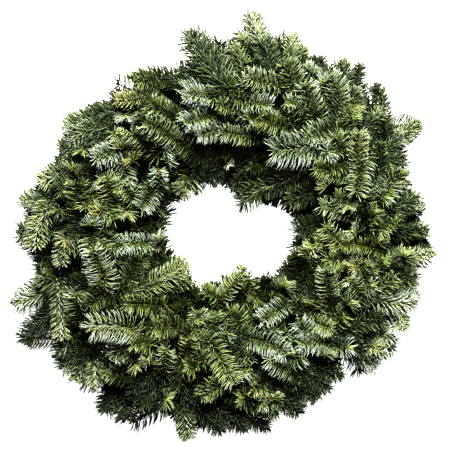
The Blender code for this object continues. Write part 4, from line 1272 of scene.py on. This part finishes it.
def fir_needle():
    """Noble fir needle: a tough leaf under a coat of plant wax. The wax gives a soft gloss on the green upper
    side and two blue-white bands of breathing pores on the underside, and new growth is yellower."""
    material, tree, shader = new_material("noble_fir_needle_waxed_leaf")
    along = add(tree, "Attribute", output="Fac", attribute_name="along")
    across = add(tree, "Attribute", output="Fac", attribute_name="across")
    tone = add(tree, "Attribute", attribute_name="tone")
    sere = tone.node.outputs["Alpha"]
    youth, bloom, depth = add(tree, "SeparateColor", {0: tone}).node.outputs
    place = add(tree, "TexCoord", output="Object")
    cloud = add(tree, "TexNoise", {"Vector": place, "Scale": 1 / (9 * MM), "Detail": 2.0})
    pores = add(tree, "TexNoise", {"Vector": place, "Scale": 1 / (0.5 * MM), "Detail": 1.0})
    green = add(tree, "Mix", {0: depth, 6: linear(MID_GREEN), 7: linear(DEEP_GREEN)}, **COLOURS)
    green = add(tree, "Mix", {0: youth, 6: green, 7: linear(YOUNG_GREEN)}, **COLOURS)
    mottle = add(tree, "MapRange", {0: cloud, 1: 0.35, 2: 0.7, 4: 0.35}, **SMOOTH)
    upper = add(tree, "Mix", {0: mottle, 6: green, 7: linear(OLIVE_GREEN)}, **COLOURS)
    upper = add(tree, "Mix", {0: sere, 6: upper, 7: linear(SERE_BROWN)}, **COLOURS)
    patchy = add(tree, "MapRange", {0: pores, 1: 0.3, 2: 0.7, 3: 0.45, 4: 0.85}, **SMOOTH)
    waxed = add(tree, "Math", {0: bloom, 1: patchy}, operation="MULTIPLY")
    outward = add(tree, "MapRange", {0: along, 1: 0.1, 2: 0.6, 3: 0.35, 4: 1.05}, **SMOOTH)
    waxed = add(tree, "Math", {0: waxed, 1: outward}, operation="MULTIPLY")
    # The wax colour grows toward each needle's tip, the more on waxy tones.
    near_tip = add(tree, "MapRange", {0: along, 1: 0.3, 2: 0.95}, **SMOOTH)
    tip_wax = add(tree, "MapRange", {0: bloom, 1: 0.1, 2: 0.8, 3: 0.14, 4: 0.3}, **SMOOTH)
    pale_tip = add(tree, "Math", {0: near_tip, 1: tip_wax}, operation="MULTIPLY")
    waxed = add(tree, "Math", {0: waxed, 1: pale_tip}, operation="ADD")
    upper = add(tree, "Mix", {0: waxed, 6: upper, 7: linear(WAX_BLOOM)}, **COLOURS)
    groove = add(tree, "MapRange", {0: across, 1: 0.72, 2: 0.95, 4: 0.3}, **SMOOTH)
    upper = add(tree, "Mix", {0: groove, 6: upper, 7: linear(OLIVE_GREEN)}, **COLOURS)
    band_in = add(tree, "MapRange", {0: across, 1: -0.85, 2: -0.7}, **SMOOTH)
    band_out = add(tree, "MapRange", {0: across, 1: -0.35, 2: -0.2, 3: 1.0, 4: 0.0}, **SMOOTH)
    band = add(tree, "Math", {0: band_in, 1: band_out}, operation="MULTIPLY")
    band_wax = add(tree, "MapRange", {0: bloom, 1: 0, 2: 0.8, 3: 0.38, 4: 0.9}, **SMOOTH)
    band = add(tree, "Math", {0: band, 1: band_wax}, operation="MULTIPLY")
    both = add(tree, "Mix", {0: band, 6: upper, 7: linear(PORE_BAND)}, **COLOURS)
    foot = add(tree, "MapRange", {0: along, 1: 0.03, 2: 0.14, 3: 0.7, 4: 0.0}, **SMOOTH)
    both = add(tree, "Mix", {0: foot, 6: both, 7: linear(NEEDLE_FOOT)}, **COLOURS)
    # Painted shade: needles of the highest depth are mixed further toward deep green.
    painted_shade_mix = add(tree, "MapRange", {0: depth, 1: 0.7, 2: 1.0, 4: 0.7}, **SMOOTH)
    both = add(tree, "Mix", {0: painted_shade_mix, 6: both, 7: linear(DEEP_GREEN)}, **COLOURS)
    matt = add(tree, "MapRange", {0: bloom, 1: 0, 2: 1, 3: 0.36, 4: 0.55}, **SMOOTH)
    tooth = add(tree, "Math", {0: pores, 1: 0.12}, operation="MULTIPLY")
    rough = add(tree, "Math", {0: matt, 1: tooth}, operation="ADD")
    finish_surface(tree, shader, both, rough, pores, 0.1 * MM, 0.35)
    shader.inputs["IOR"].default_value = 1.45
    shader.inputs["Specular IOR Level"].default_value = 0.2
    return material


def fir_bark():
    """Bark of one-year fir shoots: thin, matt, red-brown to olive skin with fine down and pale leaf scars."""
    material, tree, shader = new_material("young_fir_bark_grown")
    place = add(tree, "TexCoord", output="Object")
    streak = add(tree, "TexNoise", {"Vector": place, "Scale": 1 / (2.5 * MM), "Detail": 4.0})
    scars = add(tree, "TexVoronoi", {"Vector": place, "Scale": 1 / (1.6 * MM)})
    warm = add(tree, "MapRange", {0: streak, 1: 0.3, 2: 0.7}, **SMOOTH)
    colour = add(tree, "Mix", {0: warm, 6: linear(BARK_DARK), 7: linear(BARK_WARM)}, **COLOURS)
    scarred = add(tree, "MapRange", {0: scars, 1: 0.12, 2: 0.25, 3: 0.8, 4: 0.0}, **SMOOTH)
    colour = add(tree, "Mix", {0: scarred, 6: colour, 7: linear(BARK_SCAR)}, **COLOURS)
    rough = add(tree, "MapRange", {0: streak, 1: 0.2, 2: 0.8, 3: 0.65, 4: 0.9}, **SMOOTH)
    finish_surface(tree, shader, colour, rough, scars, 0.3 * MM, 0.6)
    return material


def resin_bud():
    """Winter bud: overlapping tan scales under clear dried resin, which gives a warm, wet-looking gloss."""
    material, tree, shader = new_material("fir_bud_resin_coated")
    place = add(tree, "TexCoord", output="Object")
    scale = add(tree, "TexVoronoi", {"Vector": place, "Scale": 1 / (1.3 * MM)})
    smear = add(tree, "TexNoise", {"Vector": place, "Scale": 1 / (2 * MM)})
    brown = add(tree, "MapRange", {0: scale, 1: 0.1, 2: 0.6}, **SMOOTH)
    colour = add(tree, "Mix", {0: brown, 6: linear(BUD_TAN), 7: linear(BUD_BROWN)}, **COLOURS)
    resin = add(tree, "MapRange", {0: smear, 1: 0.5, 2: 0.7, 4: 0.5}, **SMOOTH)
    colour = add(tree, "Mix", {0: resin, 6: colour, 7: linear(BUD_RESIN)}, **COLOURS)
    rough = add(tree, "MapRange", {0: smear, 1: 0.3, 2: 0.7, 3: 0.25, 4: 0.5}, **SMOOTH)
    finish_surface(tree, shader, colour, rough, scale, 0.3 * MM, 0.6)
    shader.inputs["Coat Weight"].default_value = 0.4
    return material


def enamelled_steel():
    """Mild steel wire, drawn, welded and dipped in dark green enamel: even gloss with thin worn spots."""
    material, tree, shader = new_material("steel_wire_green_enamelled")
    place = add(tree, "TexCoord", output="Object")
    wear = add(tree, "TexNoise", {"Vector": place, "Scale": 1 / (5 * MM), "Detail": 5.0})
    orange_peel = add(tree, "TexNoise", {"Vector": place, "Scale": 1 / (1.2 * MM)})
    worn = add(tree, "MapRange", {0: wear, 1: 0.66, 2: 0.72}, **SMOOTH)
    colour = add(tree, "Mix", {0: worn, 6: linear(ENAMEL_GREEN), 7: linear(BARE_STEEL)}, **COLOURS)
    tree.links.new(worn, shader.inputs["Metallic"])
    rough = add(tree, "MapRange", {0: wear, 1: 0.3, 2: 0.75, 3: 0.28, 4: 0.5}, **SMOOTH)
    finish_surface(tree, shader, colour, rough, orange_peel, 0.1 * MM, 0.4)
    return material


def paddle_wire_finish():
    """Annealed florist's wire in thin green lacquer, rubbed through to dull steel where it was pulled."""
    material, tree, shader = new_material("florist_wire_green_lacquered")
    place = add(tree, "TexCoord", output="Object")
    rubbed = add(tree, "TexNoise", {"Vector": place, "Scale": 1 / (3 * MM), "Detail": 4.0})
    bare = add(tree, "MapRange", {0: rubbed, 1: 0.52, 2: 0.66}, **SMOOTH)
    colour = add(tree, "Mix", {0: bare, 6: linear(LACQUER_GREEN), 7: linear(BARE_STEEL)}, **COLOURS)
    tree.links.new(bare, shader.inputs["Metallic"])
    rough = add(tree, "MapRange", {0: rubbed, 1: 0.3, 2: 0.7, 3: 0.35, 4: 0.55}, **SMOOTH)
    finish_surface(tree, shader, colour, rough, rubbed, 0.05 * MM, 0.5)
    return material


def opal_acrylic():
    """Opal acrylic sheet of a photographer's light table, cast, with a fine matt tooth and faint clouding. It
    glows evenly, so that the background is white and the wreath throws hardly any shadow on it."""
    material, tree, shader = new_material("opal_acrylic_sheet_cast_matt")
    place = add(tree, "TexCoord", output="Object")
    cloud = add(tree, "TexNoise", {"Vector": place, "Scale": 1 / (4 * MM), "Detail": 3.0})
    colour = add(tree, "Mix", {0: cloud, 6: linear(ACRYLIC_WHITE), 7: linear(ACRYLIC_CLOUD)}, **COLOURS)
    rough = add(tree, "MapRange", {0: cloud, 1: 0, 2: 1, 3: 0.7, 4: 0.85}, **SMOOTH)
    finish_surface(tree, shader, colour, rough, cloud, 0.05 * MM, 0.2)
    shader.inputs["Emission Color"].default_value = WHITE
    shader.inputs["Emission Strength"].default_value = TABLE_GLOW
    return material


def dress_wires(centre):
    """Round wires in place of the faceted ones."""
    frame_wires, binding = Growth(), Growth()
    turns = [i * 360 / ROUND_RAIL_SEGMENTS for i in range(ROUND_RAIL_SEGMENTS + 1)]
    lines = [
        np.array([on_ring(turn, RING_RADIUS + side * RAIL_OFFSET, RAIL_HEIGHT) for turn in turns])
        for side in (-1, 1)
    ]
    for number in range(CROSS_WIRES):
        one, other = cross_wire_ends(number)
        lines.append(one + np.linspace(0, 1, CROSS_WIRE_STEPS + 1)[:, None] * (other - one))
    for number, line in enumerate(lines):
        corner, size = cell(number, len(lines), 0.0, 1.0)
        add_tube(frame_wires, line, np.full(len(line), RAIL_HALF_WIDTH), RAIL_SIDES, corner, size)
    line = soften(np.array(binding_points()), BINDING_STEP)
    add_tube(binding, line, np.full(len(line), BINDING_RADIUS), BINDING_SIDES, np.zeros(2), np.ones(2))
    for growth, node, slot, material in (
        (frame_wires, "wire_frame", "green_enamelled_steel", enamelled_steel()),
        (binding, "binding_wire", "paddle_wire", paddle_wire_finish()),
    ):
        piece = growth.object(f"{node}_round", [material])
        piece.location = centre
        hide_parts(node)
        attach(piece, "root")


def lay_light_table():
    bpy.ops.mesh.primitive_plane_add(size=TABLE_SIZE, location=(0, 0, -TABLE_DROP))
    floor = bpy.context.object
    floor.name = "light_table"
    floor.data.materials.append(opal_acrylic())


def soft_light(name, place, size, power, colour):
    """A round soft light, turned to the wreath's middle."""
    light = bpy.data.lights.new(name, "AREA")
    light.shape = "DISK"
    light.size = size
    light.energy = power
    light.color = colour
    thing = bpy.data.objects.new(name, light)
    thing.location = place
    x, y, height = place
    thing.rotation_euler = (math.atan2(math.hypot(x, y), height), 0, math.atan2(x, -y))
    bpy.context.scene.collection.objects.link(thing)


def light_studio():
    """The two lights, a trace of light all round, and the crisp contrast of a product photograph."""
    soft_light("key_light", KEY_PLACE, KEY_SIZE, KEY_POWER, KEY_COLOUR)
    soft_light("fill_light", FILL_PLACE, FILL_SIZE, FILL_POWER, FILL_COLOUR)
    world = bpy.data.worlds.new("studio")
    world.use_nodes = True
    background = world.node_tree.nodes["Background"]
    background.inputs["Color"].default_value = WHITE
    background.inputs["Strength"].default_value = WORLD_LIGHT
    bpy.context.scene.world = world
    picture = bpy.context.scene.view_settings
    picture.view_transform = "Standard"
    picture.look = "Very High Contrast"


def set_camera(centre):
    """Straight above, with the photograph's middle over the same place of the wreath."""
    camera = bpy.data.cameras.new("camera")
    camera.sensor_width = SENSOR
    camera.lens = SENSOR * (CAMERA_HEIGHT - SCALE_HEIGHT) / (PHOTO_SIZE * PIXEL)
    thing = bpy.data.objects.new("camera", camera)
    middle = centre + from_photo(PHOTO_SIZE / 2, PHOTO_SIZE / 2)
    thing.location = (middle[0], middle[1], CAMERA_HEIGHT)
    bpy.context.scene.collection.objects.link(thing)
    bpy.context.scene.camera = thing


def main():
    low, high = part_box("wire_frame")
    centre = np.array(((low[0] + high[0]) / 2, (low[1] + high[1]) / 2, 0.0))
    dress_wires(centre)
    dress_sprigs(centre, [fir_needle(), fir_bark(), resin_bud()])
    lay_light_table()
    light_studio()
    set_camera(centre)
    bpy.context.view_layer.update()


main()
